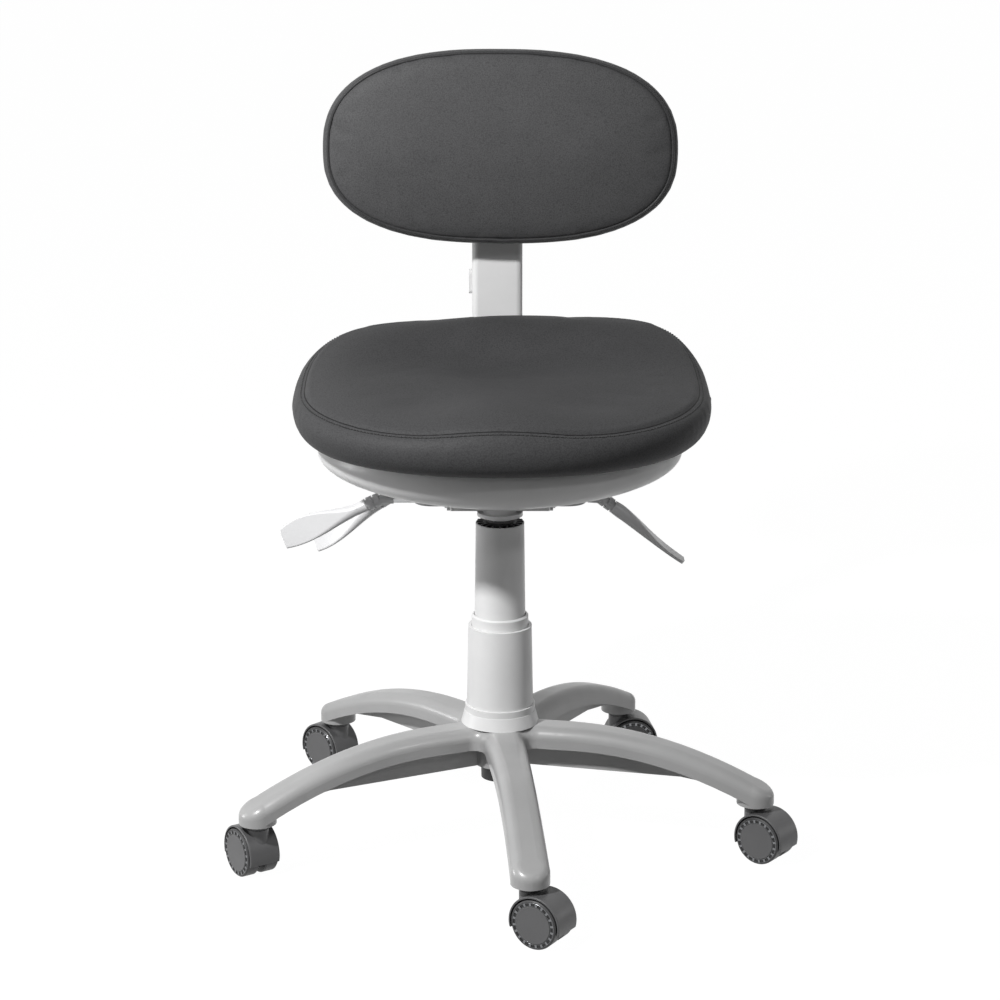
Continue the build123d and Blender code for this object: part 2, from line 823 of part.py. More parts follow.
def cushion_section(share, height, rake):
    """Level or raked outline of the seat cushion."""
    outline = superellipse(
        cushion_half_width * share, cushion_half_depth * share, cushion_power, cushion_outline_points
    )
    return Plane(origin=(0, 0, height)).rotated((rake, 0, 0)) * outline


def seat_dish(crown_height):
    """Barrel lying across the seat that presses the sitter's dish."""
    roll = (dish_half_depth ** 2 + dish_depth ** 2) / (2 * dish_depth)
    bulge = ThreePointArc(
        (-dish_half_width, roll - dish_depth), (0, roll), (dish_half_width, roll - dish_depth)
    )
    ends = Polyline(bulge @ 1, (dish_half_width, 0), (-dish_half_width, 0), bulge @ 0)
    barrel = revolve(make_face(bulge + ends), Axis.X)
    top = Plane(origin=(0, 0, crown_height)).rotated((cushion_rake, 0, 0))
    return top * Pos(0, dish_set_back, roll - dish_depth) * barrel


def seat_cushion():
    """Soft seat: bulging sides, and a dished top raked up towards the back."""
    widest_height = board_top() + cushion_widest_rise
    seam_height = widest_height + cushion_seam_rise
    crown_height = seam_height + cushion_crown_rise
    base = cushion_section(cushion_base_share, board_top(), 0)
    widest = cushion_section(1, widest_height, cushion_rake / 3)
    seam = cushion_section(cushion_seam_share, seam_height, cushion_rake)
    crown = cushion_section(cushion_crown_share, crown_height, cushion_rake)
    return loft([base, widest, seam]) + loft([seam, crown]) - seat_dish(crown_height)


# ---------------------------------------------------------------- back
back_rear = back_front + back_thickness
shell_rear = back_rear + shell_thickness
column_y = shell_rear + bracket_thickness + column_half_depth


def back_outline(inset, y):
    """Upright outline of the backrest, drawn in by an inset."""
    plane = Plane(origin=(0, y, back_centre), x_dir=(1, 0, 0), z_dir=(0, -1, 0))
    return plane * superellipse(
        back_half_width - inset, back_half_height - inset, back_power, cushion_outline_points
    )


def back_cushion():
    """Soft backrest: crowned front, rounded edge, flat back."""
    round_ = back_edge_round
    return loft([
        back_outline(2 * round_, back_front),
        back_outline(round_ / 3, back_front + round_ / 2),
        back_outline(0, back_front + 1.5 * round_),
        back_outline(round_ / 6, back_rear),
    ])


def back_board():
    """Plywood board inside the backrest's shell."""
    board = extrude(back_outline(board_back_inset, back_rear), -board_back_thickness)
    for x, z in bracket_places():
        board -= back_screw_hole(x, z, screw_radius)
    return board


def back_shell():
    """Moulded rear cover of the backrest."""
    shell = extrude(back_outline(shell_inset, back_rear), -shell_thickness)
    rear_edges = shell.edges().group_by(Axis.Y)[-1]
    shell = fillet(rear_edges, shell_edge_round)
    depth = shell_thickness - shell_wall
    shell -= extrude(back_outline(board_back_inset - moulded_gap, back_rear), -depth)
    for x, z in bracket_places():
        shell -= back_screw_hole(x, z, screw_radius + running_gap)
    return shell


def bracket_places():
    """Corners of the bracket screws' pattern, as (x, z)."""
    x_places = (column_x - bracket_screw_x, column_x + bracket_screw_x)
    z_places = (back_centre - bracket_screw_z, back_centre + bracket_screw_z)
    return [(x, z) for x in x_places for z in z_places]


def back_screw_hole(x, z, radius):
    """Screw hole along Y from the board's front to behind the bracket."""
    middle = (back_rear + shell_rear + bracket_thickness) / 2
    return Pos(x, middle, z) * Rot(90, 0, 0) * Cylinder(radius, 2 * shell_thickness)


def back_bracket():
    """Steel plate between the rear cover and the column sleeve."""
    plan = RectangleRounded(2 * bracket_half_width, 2 * bracket_half_height, bracket_round)
    plane = Plane(origin=(column_x, shell_rear, back_centre), x_dir=(1, 0, 0), z_dir=(0, 1, 0))
    plate = plane * extrude(plan, bracket_thickness)
    for x, z in bracket_places():
        plate -= back_screw_hole(x, z, screw_radius)
    return plate


def back_screws():
    """Four screws through bracket and shell into the board."""
    rear = shell_rear + bracket_thickness
    length = bracket_thickness + shell_wall + board_back_thickness
    shank = Pos(0, rear - length / 2, 0) * Rot(90, 0, 0) * Cylinder(screw_radius, length)
    head = Pos(0, rear + screw_head_height / 2, 0) * Rot(90, 0, 0)
    screw = shank + head * Cylinder(screw_head_radius, screw_head_height)
    return Compound(children=[Pos(x, 0, z) * screw for x, z in bracket_places()])


def column_plan(inset):
    """Level outline of the column sleeve, drawn in by an inset."""
    size_x = 2 * (column_half_width - inset)
    size_y = 2 * (column_half_depth - inset)
    return Pos(column_x, column_y) * RectangleRounded(size_x, size_y, column_round - inset)


def column_sleeve():
    """Moulded sleeve that slides on the back bar, open at its foot."""
    sleeve = Pos(0, 0, column_foot) * extrude(column_plan(0), column_head - column_foot)
    sleeve = fillet(sleeve.edges().group_by(Axis.Z)[-1], column_wall)
    depth = column_head - column_wall - column_foot
    sleeve -= Pos(0, 0, column_foot) * extrude(column_plan(column_wall), depth)
    rib_gap = bar_half_depth + moulded_gap
    for side in (-1, 1):
        for face in (-1, 1):
            x = column_x + side * column_rib_offset
            x_span = (x - column_rib_width / 2, x + column_rib_width / 2)
            y_ends = (column_y + face * rib_gap, column_y + face * (column_half_depth - column_wall / 2))
            sleeve += block(x_span, sorted(y_ends), (column_foot, column_head - column_wall))
    return sleeve - button_body(moulded_gap, column_half_width)


def button_body(gap, depth):
    """Rounded bar along X for the height button, grown by a gap."""
    outline = RectangleRounded(button_width + 2 * gap, button_height + 2 * gap, button_round)
    start = column_x - column_half_width - button_rest_proud - button_travel
    plane = Plane(origin=(start, column_y, button_centre), x_dir=(0, 1, 0), z_dir=(1, 0, 0))
    return plane * extrude(outline, depth)


def column_button():
    """Sprung height button with the flange that keeps it in the sleeve."""
    body = button_body(0, button_depth)
    flange_start = column_x - column_half_width + column_wall + moulded_gap
    outline = RectangleRounded(button_width, button_height + 2 * button_flange, button_round)
    plane = Plane(origin=(flange_start, column_y, button_centre), x_dir=(0, 1, 0), z_dir=(1, 0, 0))
    return body + plane * extrude(outline, button_flange)


def back_arm():
    """Flat bar from its pivot eye under the seat up into the column sleeve."""
    low, high = back_pivot_z - bar_half_depth, back_pivot_z + bar_half_depth
    front, rear = column_y - bar_half_depth, column_y + bar_half_depth
    inner = bar_bend_radius - bar_half_depth
    outer = bar_bend_radius + bar_half_depth
    corner_y = column_y - bar_bend_radius
    corner_z = back_pivot_z + bar_bend_radius
    outline = [
        Line((back_pivot_y, low), (corner_y, low)),
        RadiusArc((corner_y, low), (rear, corner_z), -outer),
        Line((rear, corner_z), (rear, bar_head)),
        Line((rear, bar_head), (front, bar_head)),
        Line((front, bar_head), (front, corner_z)),
        RadiusArc((front, corner_z), (corner_y, high), inner),
        Line((corner_y, high), (back_pivot_y, high)),
        Line((back_pivot_y, high), (back_pivot_y, low)),
    ]
    face = Plane.YZ * make_face(Curve() + outline)
    bar = Pos(column_x - bar_half_width, 0, 0) * extrude(face, 2 * bar_half_width)
    eye_span = (column_x - bar_half_width, column_x + bar_half_width)
    bar += cross_pin(bar_eye_radius, back_pivot_y, back_pivot_z, *eye_span)
    bore = pin_radius + running_gap
    bar -= cross_pin(bore, back_pivot_y, back_pivot_z, -housing_half_width, housing_half_width)
    edge = column_x - bar_half_width
    for index in range(bar_notches):
        middle = button_centre + (index - (bar_notches - 1) / 2) * bar_notch_pitch
        z_span = (middle - bar_notch_height / 2, middle + bar_notch_height / 2)
        x_span = (edge - cut_over, edge + bar_notch_depth)
        bar -= block(x_span, (front - cut_over, rear + cut_over), z_span)
    return bar


# ---------------------------------------------------------------- levers
def paddle_direction(side, slope, splay):
    """Unit vector along a paddle, away from the seat and down."""
    level = cos(radians(slope))
    return Vector(side * level * cos(radians(splay)), level * sin(radians(splay)), -sin(radians(slope)))


def paddle_plane(spec):
    """Plane with X along the paddle and Z out of its blade's face."""
    side, y, height, reach, slope, splay, twist = spec
    along = paddle_direction(side, slope, splay)
    up = (Vector(0, 0, 1) - along * along.Z).normalized()
    across = along.cross(up)
    if across.Y > 0:
        across = across * -1
    face = up * cos(radians(twist)) + across * sin(radians(twist))
    return Plane(origin=(side * reach, y, height), x_dir=along, z_dir=face)


def lever_knee(spec):
    """Where a lever's rod bends into its paddle."""
    side, y, height, reach = spec[:4]
    return Vector(side * reach, y, height)


def lever_rod(spec):
    """Steel rod with its flattened eye, and the thumb of the height lever."""
    side, y, height, reach, slope, splay, twist = spec
    pivot = Vector(side * lever_pivot_x, y, height)
    knee = lever_knee(spec)
    end = knee + paddle_direction(side, slope, splay) * lever_insert
    path = FilletPolyline(pivot, knee, end, radius=lever_bend)
    rod = sweep(Plane(origin=pivot, z_dir=(side, 0, 0)) * Circle(lever_rod_radius), path=path)
    eye = Pos(*pivot) * Rot(90, 0, 0)
    rod += eye * Cylinder(lever_eye_radius, lever_eye_width)
    if side > 0:
        low = cylinder_top + valve_height + thumb_gap
        half = thumb_width / 2
        high = low + thumb_thickness
        y_span = (y - half, y + half)
        rod += block((-valve_radius - thumb_reach, pivot.X), y_span, (low, high))
        rod += block((pivot.X - lever_eye_radius, pivot.X), y_span, (height, high))
    return rod - eye * Cylinder(lever_pin_radius + running_gap, 2 * lever_eye_width)


def lever_paddle(spec):
    """Moulded handle: taper, two rings, and a barrel that flattens to a blade."""
    plane = paddle_plane(spec)
    side = spec[0]
    start = 2 * paddle_ring_pitch
    barrel = 2 * paddle_barrel_radius
    swell, mid = paddle_swell, (paddle_barrel_length + paddle_swell) / 2
    stations = (
        (start, barrel, barrel, 0),
        (paddle_barrel_length, barrel, barrel, 0),
        (mid, (barrel + paddle_blade_width) / 2, (barrel + paddle_blade_thickness) / 2, 0.5),
        (swell, paddle_blade_width, paddle_blade_thickness, 1),
        (paddle_length, paddle_tip_width, paddle_tip_thickness, 1),
    )
    sections = []
    for along, width, thickness, share in stations:
        centre = (along, -paddle_lean * share, -paddle_sag * share)
        section = Plane(origin=centre, x_dir=(0, 1, 0), z_dir=(1, 0, 0))
        sections.append(section * RectangleRounded(width, thickness, paddle_edge_share * thickness))
    grip = loft(sections)
    envelope = RectangleRounded(2 * paddle_length, paddle_blade_width + 2 * paddle_lean, paddle_tip_round)
    envelope = extrude(envelope, paddle_blade_width, both=True)
    grip = grip & envelope
    neck = Rot(0, 90, 0) * post(paddle_neck_radius, 0, start)
    grip += neck
    for index in range(2):
        low = index * paddle_ring_pitch
        grip += Rot(0, 90, 0) * post(paddle_ring_radius, low, low + paddle_ring_length)
    paddle = plane * grip
    paddle += taper_on_rod(spec)
    return paddle - lever_bore(spec)


def taper_on_rod(spec):
    """Short moulded cone on the level rod, up to the knee."""
    side, y, height, reach = spec[:4]
    cone = Cone(lever_rod_radius + cover_wall / 2, paddle_neck_radius + cover_wall / 2, paddle_neck_length)
    return Pos(side * (reach - paddle_neck_length / 2), y, height) * Rot(0, 90 * side, 0) * cone


def lever_bore(spec):
    """Space that the bent rod takes in its paddle."""
    side, y, height, reach, slope, splay, twist = spec
    knee = lever_knee(spec)
    start = Vector(side * (reach - 2 * paddle_neck_length), y, height)
    end = knee + paddle_direction(side, slope, splay) * lever_insert
    path = FilletPolyline(start, knee, end, radius=lever_bend)
    return sweep(Plane(origin=start, z_dir=(side, 0, 0)) * Circle(lever_rod_radius), path=path)


def lever_pins():
    """Three pivot pins across the lever lugs."""
    half = lever_eye_width / 2 + lever_lug_gap + lever_lug_thickness
    pins = []
    for spec in levers.values():
        side, y, height = spec[:3]
        place = Pos(side * lever_pivot_x, y, height) * Rot(90, 0, 0)
        pins.append(place * Cylinder(lever_pin_radius, 2 * half))
    return Compound(children=pins)


# ---------------------------------------------------------------- casters
def caster_hood():
    """Hooded fork: arch over both wheels, web between them, neck for the stem."""
    axle = Pos(caster_trail, 0, wheel_radius) * Rot(90, 0, 0)
    inner = hood_radius - hood_wall
    drum = Cylinder(hood_radius, 2 * hood_half_width)
    drum = fillet(drum.edges().filter_by(GeomType.CIRCLE), hood_edge_round)
    arch = axle * (drum - Cylinder(inner, 2 * hood_half_width))
    web = axle * Cylinder(inner + hood_wall / 2, hood_web)
    neck = post(hood_neck_radius, wheel_radius, hood_neck_top)
    neck -= axle * Cylinder(inner, 2 * hood_half_width)
    hood = arch + web + neck
    reach = 2 * hood_radius
    hood -= block((-reach, reach), (-reach, reach), (-reach, wheel_radius - hood_skirt))
    hood -= axle * Cylinder(axle_radius, reach)
    hood -= post(stem_radius + running_gap, hood_neck_top - stem_socket_depth, hood_neck_top)
    pin_low = hood_neck_top - kingpin_depth - stem_socket_depth
    return hood - post(kingpin_radius + running_gap, pin_low, hood_neck_top)


def caster_stem():
    """Steel stem with its collar, fixed in the leg's boss."""
    shoulder = hood_neck_top - stem_socket_depth + stem_float
    stem = post(stem_radius, shoulder, tip_foot + stem_length)
    stem += post(stem_collar_radius, hood_neck_top + stem_float, tip_foot)
    return stem + post(kingpin_radius, shoulder - kingpin_depth + 2 * stem_float, shoulder)


def caster_axle():
    """Steel axle through the web into both wheels."""
    return Pos(caster_trail, 0, wheel_radius) * Rot(90, 0, 0) * Cylinder(axle_radius, 2 * axle_half_length)


def caster_wheel(side):
    """Wheel with dished back, raised cap and windowed trim ring."""
    face = wheel_outer_face
    ring_face = face - ring_depth
    rim_face = face - ring_depth / 2
    bore = axle_radius + running_gap
    dish = wheel_inner_face + wheel_dish_depth
    blind = axle_half_length + moulded_gap
    wheel = turned(
        (bore, wheel_inner_face),
        (wheel_hub_radius, wheel_inner_face),
        (wheel_hub_radius, dish),
        (wheel_dish_radius, dish),
        (wheel_dish_radius, wheel_inner_face),
        (wheel_radius - wheel_edge, wheel_inner_face),
        (wheel_radius, wheel_inner_face + wheel_edge),
        (wheel_radius, rim_face - wheel_edge),
        (wheel_radius - wheel_edge, rim_face),
        (ring_radius, rim_face),
        (ring_radius, ring_face),
        (cap_radius, ring_face),
        (cap_radius, face - cap_groove / 2),
        (cap_radius - cap_groove, face),
        (0, face),
        (0, blind),
        (bore, blind),
    )
    middle = (cap_radius + ring_radius) / 2
    half_w, half_l = window_width / 2, window_length / 2
    window = block((middle - half_w, middle + half_w), (-half_l, half_l), (ring_face - window_depth, face))
    for index in range(ring_windows):
        wheel -= Rot(0, 0, 360 * index / ring_windows) * window
    return Pos(caster_trail, 0, wheel_radius) * Rot(-90 * side, 0, 0) * wheel


def caster_place(index):
    """Where a caster stands under its leg, turned to its trail."""
    heading = radians(front_leg_turn - 90 + 360 * index / leg_count)
    return Pos(caster_circle * cos(heading), caster_circle * sin(heading), 0)


# ---------------------------------------------------------------- assembly
parts = {
    "base_star": base_star(),
    "stand_tube": stand_tube(),
    "guide_bush": guide_bush(),
    "thrust_bearing": thrust_bearing(),
    "retaining_clip": retaining_clip(),
    "piston_rod": piston_rod(),
    "rod_seal": rod_seal(),
    "gas_cylinder": gas_cylinder(),
    "valve_pin": valve_pin(),
    "cover_lower": cover_lower(),
    "cover_middle": cover_middle(),
    "cover_upper": cover_upper(),
    "cover_collar": cover_collar(),
    "mechanism_housing": mechanism_housing(),
    "pivot_pins": pivot_pins(),
    "lever_pins": lever_pins(),
    "seat_plate": seat_plate(),
    "seat_screws": seat_screws(),
    "seat_pan": seat_pan(),
    "seat_board": seat_board(),
    "seat_cushion": seat_cushion(),
    "back_arm": back_arm(),
    "column_sleeve": column_sleeve(),
    "column_button": column_button(),
    "back_bracket": back_bracket(),
    "back_screws": back_screws(),
    "back_board": back_board(),
    "back_shell": back_shell(),
    "back_cushion": back_cushion(),
}
for name, spec in levers.items():
    parts[name + "_rod"] = lever_rod(spec)
    parts[name + "_paddle"] = lever_paddle(spec)

hood, stem, axle = caster_hood(), caster_stem(), caster_axle()
wheels = {"left": caster_wheel(-1), "right": caster_wheel(1)}
for index, trail in enumerate(caster_trails):
    place = caster_place(index) * Rot(0, 0, trail)
    prefix = f"caster_{index + 1}_"
    parts[prefix + "hood"] = place * hood
    parts[prefix + "stem"] = place * stem
    parts[prefix + "axle"] = place * axle
    for side, wheel in wheels.items():
        parts[prefix + "wheel_" + side] = place * wheel

os.makedirs("parts", exist_ok=True)
for name, solid in parts.items():
    export_step(solid, f"parts/{name}.step")
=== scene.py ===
"""Dressed model of a castered dentist stool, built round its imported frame.

Metres, +Z up, the user facing -Y.  Each sub-assembly is a class that holds its
sizes, builds its meshes from formulas and dresses them; each finish is a frozen
dataclass that builds one node material.
"""

import json
import logging
import math
from collections.abc import Callable
from dataclasses import dataclass, field
from enum import Enum

import bmesh
import bpy
import numpy as np
from bpy.types import Material, Mesh, Node, NodeSocket, NodeTree, Object, World
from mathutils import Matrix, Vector
from mathutils.bvhtree import BVHTree


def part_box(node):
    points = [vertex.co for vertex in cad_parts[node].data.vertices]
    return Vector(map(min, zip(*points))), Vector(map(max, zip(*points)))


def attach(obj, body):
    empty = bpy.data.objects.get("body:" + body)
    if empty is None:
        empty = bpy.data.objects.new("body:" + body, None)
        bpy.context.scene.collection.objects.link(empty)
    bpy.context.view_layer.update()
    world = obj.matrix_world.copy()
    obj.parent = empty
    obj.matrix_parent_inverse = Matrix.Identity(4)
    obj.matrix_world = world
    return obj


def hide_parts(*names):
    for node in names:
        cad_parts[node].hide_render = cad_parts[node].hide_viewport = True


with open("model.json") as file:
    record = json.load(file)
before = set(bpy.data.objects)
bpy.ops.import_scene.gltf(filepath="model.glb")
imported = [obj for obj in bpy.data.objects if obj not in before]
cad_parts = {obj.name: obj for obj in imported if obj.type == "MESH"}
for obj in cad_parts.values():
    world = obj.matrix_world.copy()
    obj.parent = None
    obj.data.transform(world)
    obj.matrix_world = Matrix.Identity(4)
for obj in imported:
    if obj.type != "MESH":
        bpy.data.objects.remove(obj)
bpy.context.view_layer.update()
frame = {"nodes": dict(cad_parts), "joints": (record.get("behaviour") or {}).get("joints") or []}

Array = np.ndarray
Pair = tuple[float, float]
LOG = logging.getLogger("stool")
MM = 0.001
WHITE = (1.0, 1.0, 1.0, 1.0)
FINE_STEPS = 40  # steps of a finely drawn outline for each point that is kept
WAVE_RADIANS = 20  # radians of a wave texture for each unit of its scale
SEAM_ROUNDS = 3  # rounds of smoothing for a line laid on a cover
DISTANCE_BLOCK = 4000  # points measured against a seam at once
STITCH_ROW = 4.2  # how far outside the seam the stitches are sewn, in millimetres


# ------------------------------------------------------------------ helpers
def linear(colour: str) -> tuple[float, float, float, float]:
    """Turn an sRGB hex colour into linear RGBA.

    Args:
        colour: six hex digits after a hash.

    Returns:
        Linear red, green, blue and an alpha of one.
    """
    channels = np.array([int(colour[i:i + 2], 16) for i in (1, 3, 5)]) / 255.0
    low = channels / 12.92
    high = ((channels + 0.055) / 1.055) ** 2.4
    red, green, blue = np.where(channels <= 0.04045, low, high).tolist()
    return red, green, blue, 1.0


def shade(colour: str, share: float) -> str:
    """Scale an sRGB hex colour towards black or white.

    Args:
        colour: the colour to scale.
        share: the factor on each channel.

    Returns:
        The new hex colour.
    """
    channels = [min(255, round(int(colour[i:i + 2], 16) * share)) for i in (1, 3, 5)]
    return "#{:02x}{:02x}{:02x}".format(*channels)


def add_node(
    tree: NodeTree,
    kind: str,
    fields: dict | None = None,
    values: dict | None = None,
    links: dict | None = None,
) -> Node:
    """Add one shader node with its settings and links.

    Args:
        tree: the node tree that takes the node.
        kind: the node's type name, after its common beginning.
        fields: properties of the node itself.
        values: default values of its inputs, by name or index.
        links: sockets to join to its inputs, by name or index.

    Returns:
        The new node.
    """
    node = tree.nodes.new("ShaderNode" + kind)
    for name, value in (fields or {}).items():
        setattr(node, name, value)
    for name, value in (values or {}).items():
        node.inputs[name].default_value = value
    for name, socket in (links or {}).items():
        tree.links.new(socket, node.inputs[name])
    return node


def empty_tree(owner: Material | World) -> NodeTree:
    """Switch an owner to nodes and clear them."""
    owner.use_nodes = True
    owner.node_tree.nodes.clear()
    return owner.node_tree


def new_piece(name: str, points: Array, faces: list) -> Object:
    """Make a smooth mesh object.

    Args:
        name: name of the object and its mesh.
        points: vertices as count by three, in metres.
        faces: corner indices of each face.

    Returns:
        The new object, linked to the scene.
    """
    mesh = bpy.data.meshes.new(name)
    mesh.from_pydata(points.tolist(), [], faces)
    mesh.validate()
    mesh.shade_smooth()
    piece = bpy.data.objects.new(name, mesh)
    bpy.context.scene.collection.objects.link(piece)
    return piece


def tube_quads(cell: Array, loop: bool = False) -> Array:
    """Faces between the rows of a grid whose columns close round on themselves.

    Args:
        cell: point indices as rows by columns.
        loop: whether the rows close round too.

    Returns:
        Corner indices as count by four.
    """
    ring = np.concatenate([cell, cell[:, :1]], axis=1)
    if loop:
        ring = np.concatenate([ring, ring[:1]], axis=0)
    corners = [ring[:-1, :-1], ring[:-1, 1:], ring[1:, 1:], ring[1:, :-1]]
    return np.stack(corners, axis=-1).reshape(-1, 4)


def surface(name: str, grid: Array, loop: bool = False) -> Object:
    """Make a closed piece from a grid of points over two parameters.

    The sign of the volume inside its faces tells which way round they run.

    Args:
        name: name of the object and its mesh.
        grid: points as rows by columns by three, in metres.
        loop: whether the rows close round as the columns do; if not, the
            first and the last row are closed by a face.

    Returns:
        The new object, its faces pointing outwards.
    """
    cell = np.arange(grid.shape[0] * grid.shape[1]).reshape(grid.shape[:2])
    points, quads = grid.reshape(-1, 3), tube_quads(cell, loop)
    first, second, third, fourth = np.moveaxis(points[quads], 1, 0)
    volume = (first * (np.cross(second, third) + np.cross(third, fourth))).sum()
    faces = quads.tolist()
    if not loop:
        faces += [cell[0, ::-1].tolist(), cell[-1].tolist()]
    if volume < 0:
        faces = [face[::-1] for face in faces]
    return new_piece(name, points, faces)


def turns(count: int) -> Array:
    """Even angles once round, the last one short of the first."""
    return np.linspace(0, 2 * np.pi, count, endpoint=False)


def unit(vectors: Array) -> Array:
    """Vectors along the last axis at length one."""
    return vectors / np.linalg.norm(vectors, axis=-1, keepdims=True)


def grow(value: Array, start: float, run: float) -> Array:
    """Ease from zero at the start to one at the end of a run."""
    share = np.clip((value - start) / run, 0, 1)
    return share * share * (3 - 2 * share)


def bell(value: Array, width: float) -> Array:
    """One at zero, falling off smoothly over about the width."""
    return np.exp(-((value / width) ** 2))


def length_run(line: Array) -> Array:
    """Length run along a line at each of its points, from zero."""
    return np.concatenate([[0], np.cumsum(np.linalg.norm(np.diff(line, axis=0), axis=1))])


def even_steps(length: Array, values: Array, count: int) -> Array:
    """Read values at equal steps of length along a closed line.

    Args:
        length: length run at each point, the last point lying on the first.
        values: what to read, one row for each point.
        count: how many steps.

    Returns:
        One row for each step.
    """
    target = np.linspace(0, length[-1], count, endpoint=False)
    return np.stack([np.interp(target, length, column) for column in values.T], axis=-1)


def outline_points(half_x: float, halves: Pair, powers: Pair, count: int) -> Array:
    """Outline |x/a|^n + |y/b|^n = 1 at equal steps of its length.

    Args:
        half_x: half the width.
        halves: the reach over negative and over positive y.
        powers: squareness of those two halves, two for an ellipse.
        count: how many points.

    Returns:
        Points as count by two, counter-clockwise.
    """
    angle = np.linspace(0, 2 * np.pi, FINE_STEPS * count + 1)
    cosine, sine = np.cos(angle), np.sin(angle)
    half_y, power = (np.where(sine > 0, pair[1], pair[0]) for pair in (halves, powers))
    x = half_x * np.sign(cosine) * np.abs(cosine) ** (2 / power)
    y = half_y * np.sign(sine) * np.abs(sine) ** (2 / power)
    fine = np.stack([x, y], axis=-1)
    return even_steps(length_run(fine), fine, count)


def tube_along(name: str, path: Array, radius: float, up: Array, sides: int) -> Object:
    """Round cord along a closed path.

    Each ring is path + radius * (cos(s) * across + sin(s) * over), with across
    square to the path and to the up direction, and over square to both.

    Args:
        name: the piece's name.
        path: closed path as count by three.
        radius: the cord's radius.
        up: a direction for each point that is never along the path.
        sides: points round the cord.

    Returns:
        The new closed piece.
    """
    tangent = unit(np.roll(path, -1, axis=0) - np.roll(path, 1, axis=0))
    across = unit(np.cross(tangent, up))
    over = np.cross(across, tangent)
    turn = turns(sides)[None, :, None]
    ring = np.cos(turn) * across[:, None] + np.sin(turn) * over[:, None]
    return surface(name, path[:, None] + radius * ring, loop=True)


def dress(piece: Object, material: Material) -> None:
    """Give a piece one material in every slot.

    Args:
        piece: the object to dress.
        material: the finish it gets.
    """
    if not piece.material_slots:
        piece.data.materials.append(material)
    for slot in piece.material_slots:
        slot.material = material


def settle(piece: Object, body: str, material: Material) -> None:
    """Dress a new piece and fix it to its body.

    Args:
        piece: the new object.
        body: the body that it rides on.
        material: its finish.
    """
    dress(piece, material)
    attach(piece, body)
    LOG.info("%s rides on %s", piece.name, body)


# ------------------------------------------------------------------ finishes
@dataclass(frozen=True)
class Finish:
    """A node material named for what the real surface is."""

    name: str  # the material's name
    colour: str  # its sRGB hex colour
    roughness: float  # the mean roughness
    ior: float = 1.5  # the index of refraction, left alone on metals

    def build(self) -> Material:
        """Build the node material.

        Returns:
            The material.
        """
        material = bpy.data.materials.new(self.name)
        tree = empty_tree(material)
        self.paint(tree, add_node(tree, "TexCoord").outputs["Object"])
        return material

    def paint(self, tree: NodeTree, place: NodeSocket) -> None:
        """Fill the empty tree with the finish's nodes.

        Args:
            tree: the material's tree.
            place: the Object coordinate socket.
        """
        raise NotImplementedError

    def close(self, tree: NodeTree, values: dict, links: dict) -> None:
        """Add the surface shader and the output.

        Args:
            tree: the material's tree.
            values: plain values for the shader's sockets.
            links: sockets linked into the shader.
        """
        shader = add_node(tree, "BsdfPrincipled", values=values, links=links)
        add_node(tree, "OutputMaterial", links={"Surface": shader.outputs[0]})

    def cloud(self, tree: NodeTree, place: NodeSocket, size: float, detail: float) -> NodeSocket:
        """Soft noise whose blotches have a real size.

        Args:
            tree: the material's tree.
            place: the coordinate socket.
            size: the width of a blotch in millimetres.
            detail: octaves of finer noise.

        Returns:
            The noise value from zero to one.
        """
        values = {"Scale": 1 / (size * MM), "Detail": detail, "Roughness": 0.55}
        return add_node(tree, "TexNoise", values=values, links={"Vector": place}).outputs[0]

    def waves(
        self,
        tree: NodeTree,
        place: NodeSocket,
        radian: float,
        direction: str,
        distortion: float,
    ) -> NodeSocket:
        """Even bands, light and dark in turn like a sine.

        Args:
            tree: the material's tree.
            place: the coordinate socket.
            radian: length of one radian of that sine in millimetres.
            direction: the axis along which the bands follow one another.
            distortion: how far noise bends them.

        Returns:
            The band value from zero to one.
        """
        values = {"Scale": 1 / (radian * MM * WAVE_RADIANS), "Distortion": distortion}
        fields = {"bands_direction": direction}
        return add_node(tree, "TexWave", fields, values, {"Vector": place}).outputs[1]

    def spread(self, tree: NodeTree, value: NodeSocket, low: float, high: float) -> NodeSocket:
        """Carry a noise's middle range onto new limits.

        Args:
            tree: the material's tree.
            value: the noise value.
            low: the result at 0.3.
            high: the result at 0.7.

        Returns:
            The new value.
        """
        values = {"From Min": 0.3, "From Max": 0.7, "To Min": low, "To Max": high}
        return add_node(tree, "MapRange", values=values, links={"Value": value}).outputs[0]

    def tint(self, tree: NodeTree, value: NodeSocket, stops: dict[float, float]) -> NodeSocket:
        """Shades of the finish's colour over a value.

        Args:
            tree: the material's tree.
            value: the socket that picks the shade.
            stops: factors on the colour at rising values.

        Returns:
            The colour socket.
        """
        node = add_node(tree, "ValToRGB", links={0: value})
        elements = node.color_ramp.elements
        while len(elements) < len(stops):
            elements.new(1.0)
        for element, (position, share) in zip(elements, stops.items()):
            element.position, element.color = position, linear(shade(self.colour, share))
        return node.outputs[0]

    def bump(
        self, tree: NodeTree, height: NodeSocket, strength: float, depth: float
    ) -> NodeSocket:
        """Relief from a height.

        Args:
            tree: the material's tree.
            height: the height socket.
            strength: how strongly it shows.
            depth: what a height of one stands for in millimetres.

        Returns:
            The normal socket.
        """
        values = {"Strength": strength, "Distance": depth * MM}
        return add_node(tree, "Bump", values=values, links={"Height": height}).outputs[0]


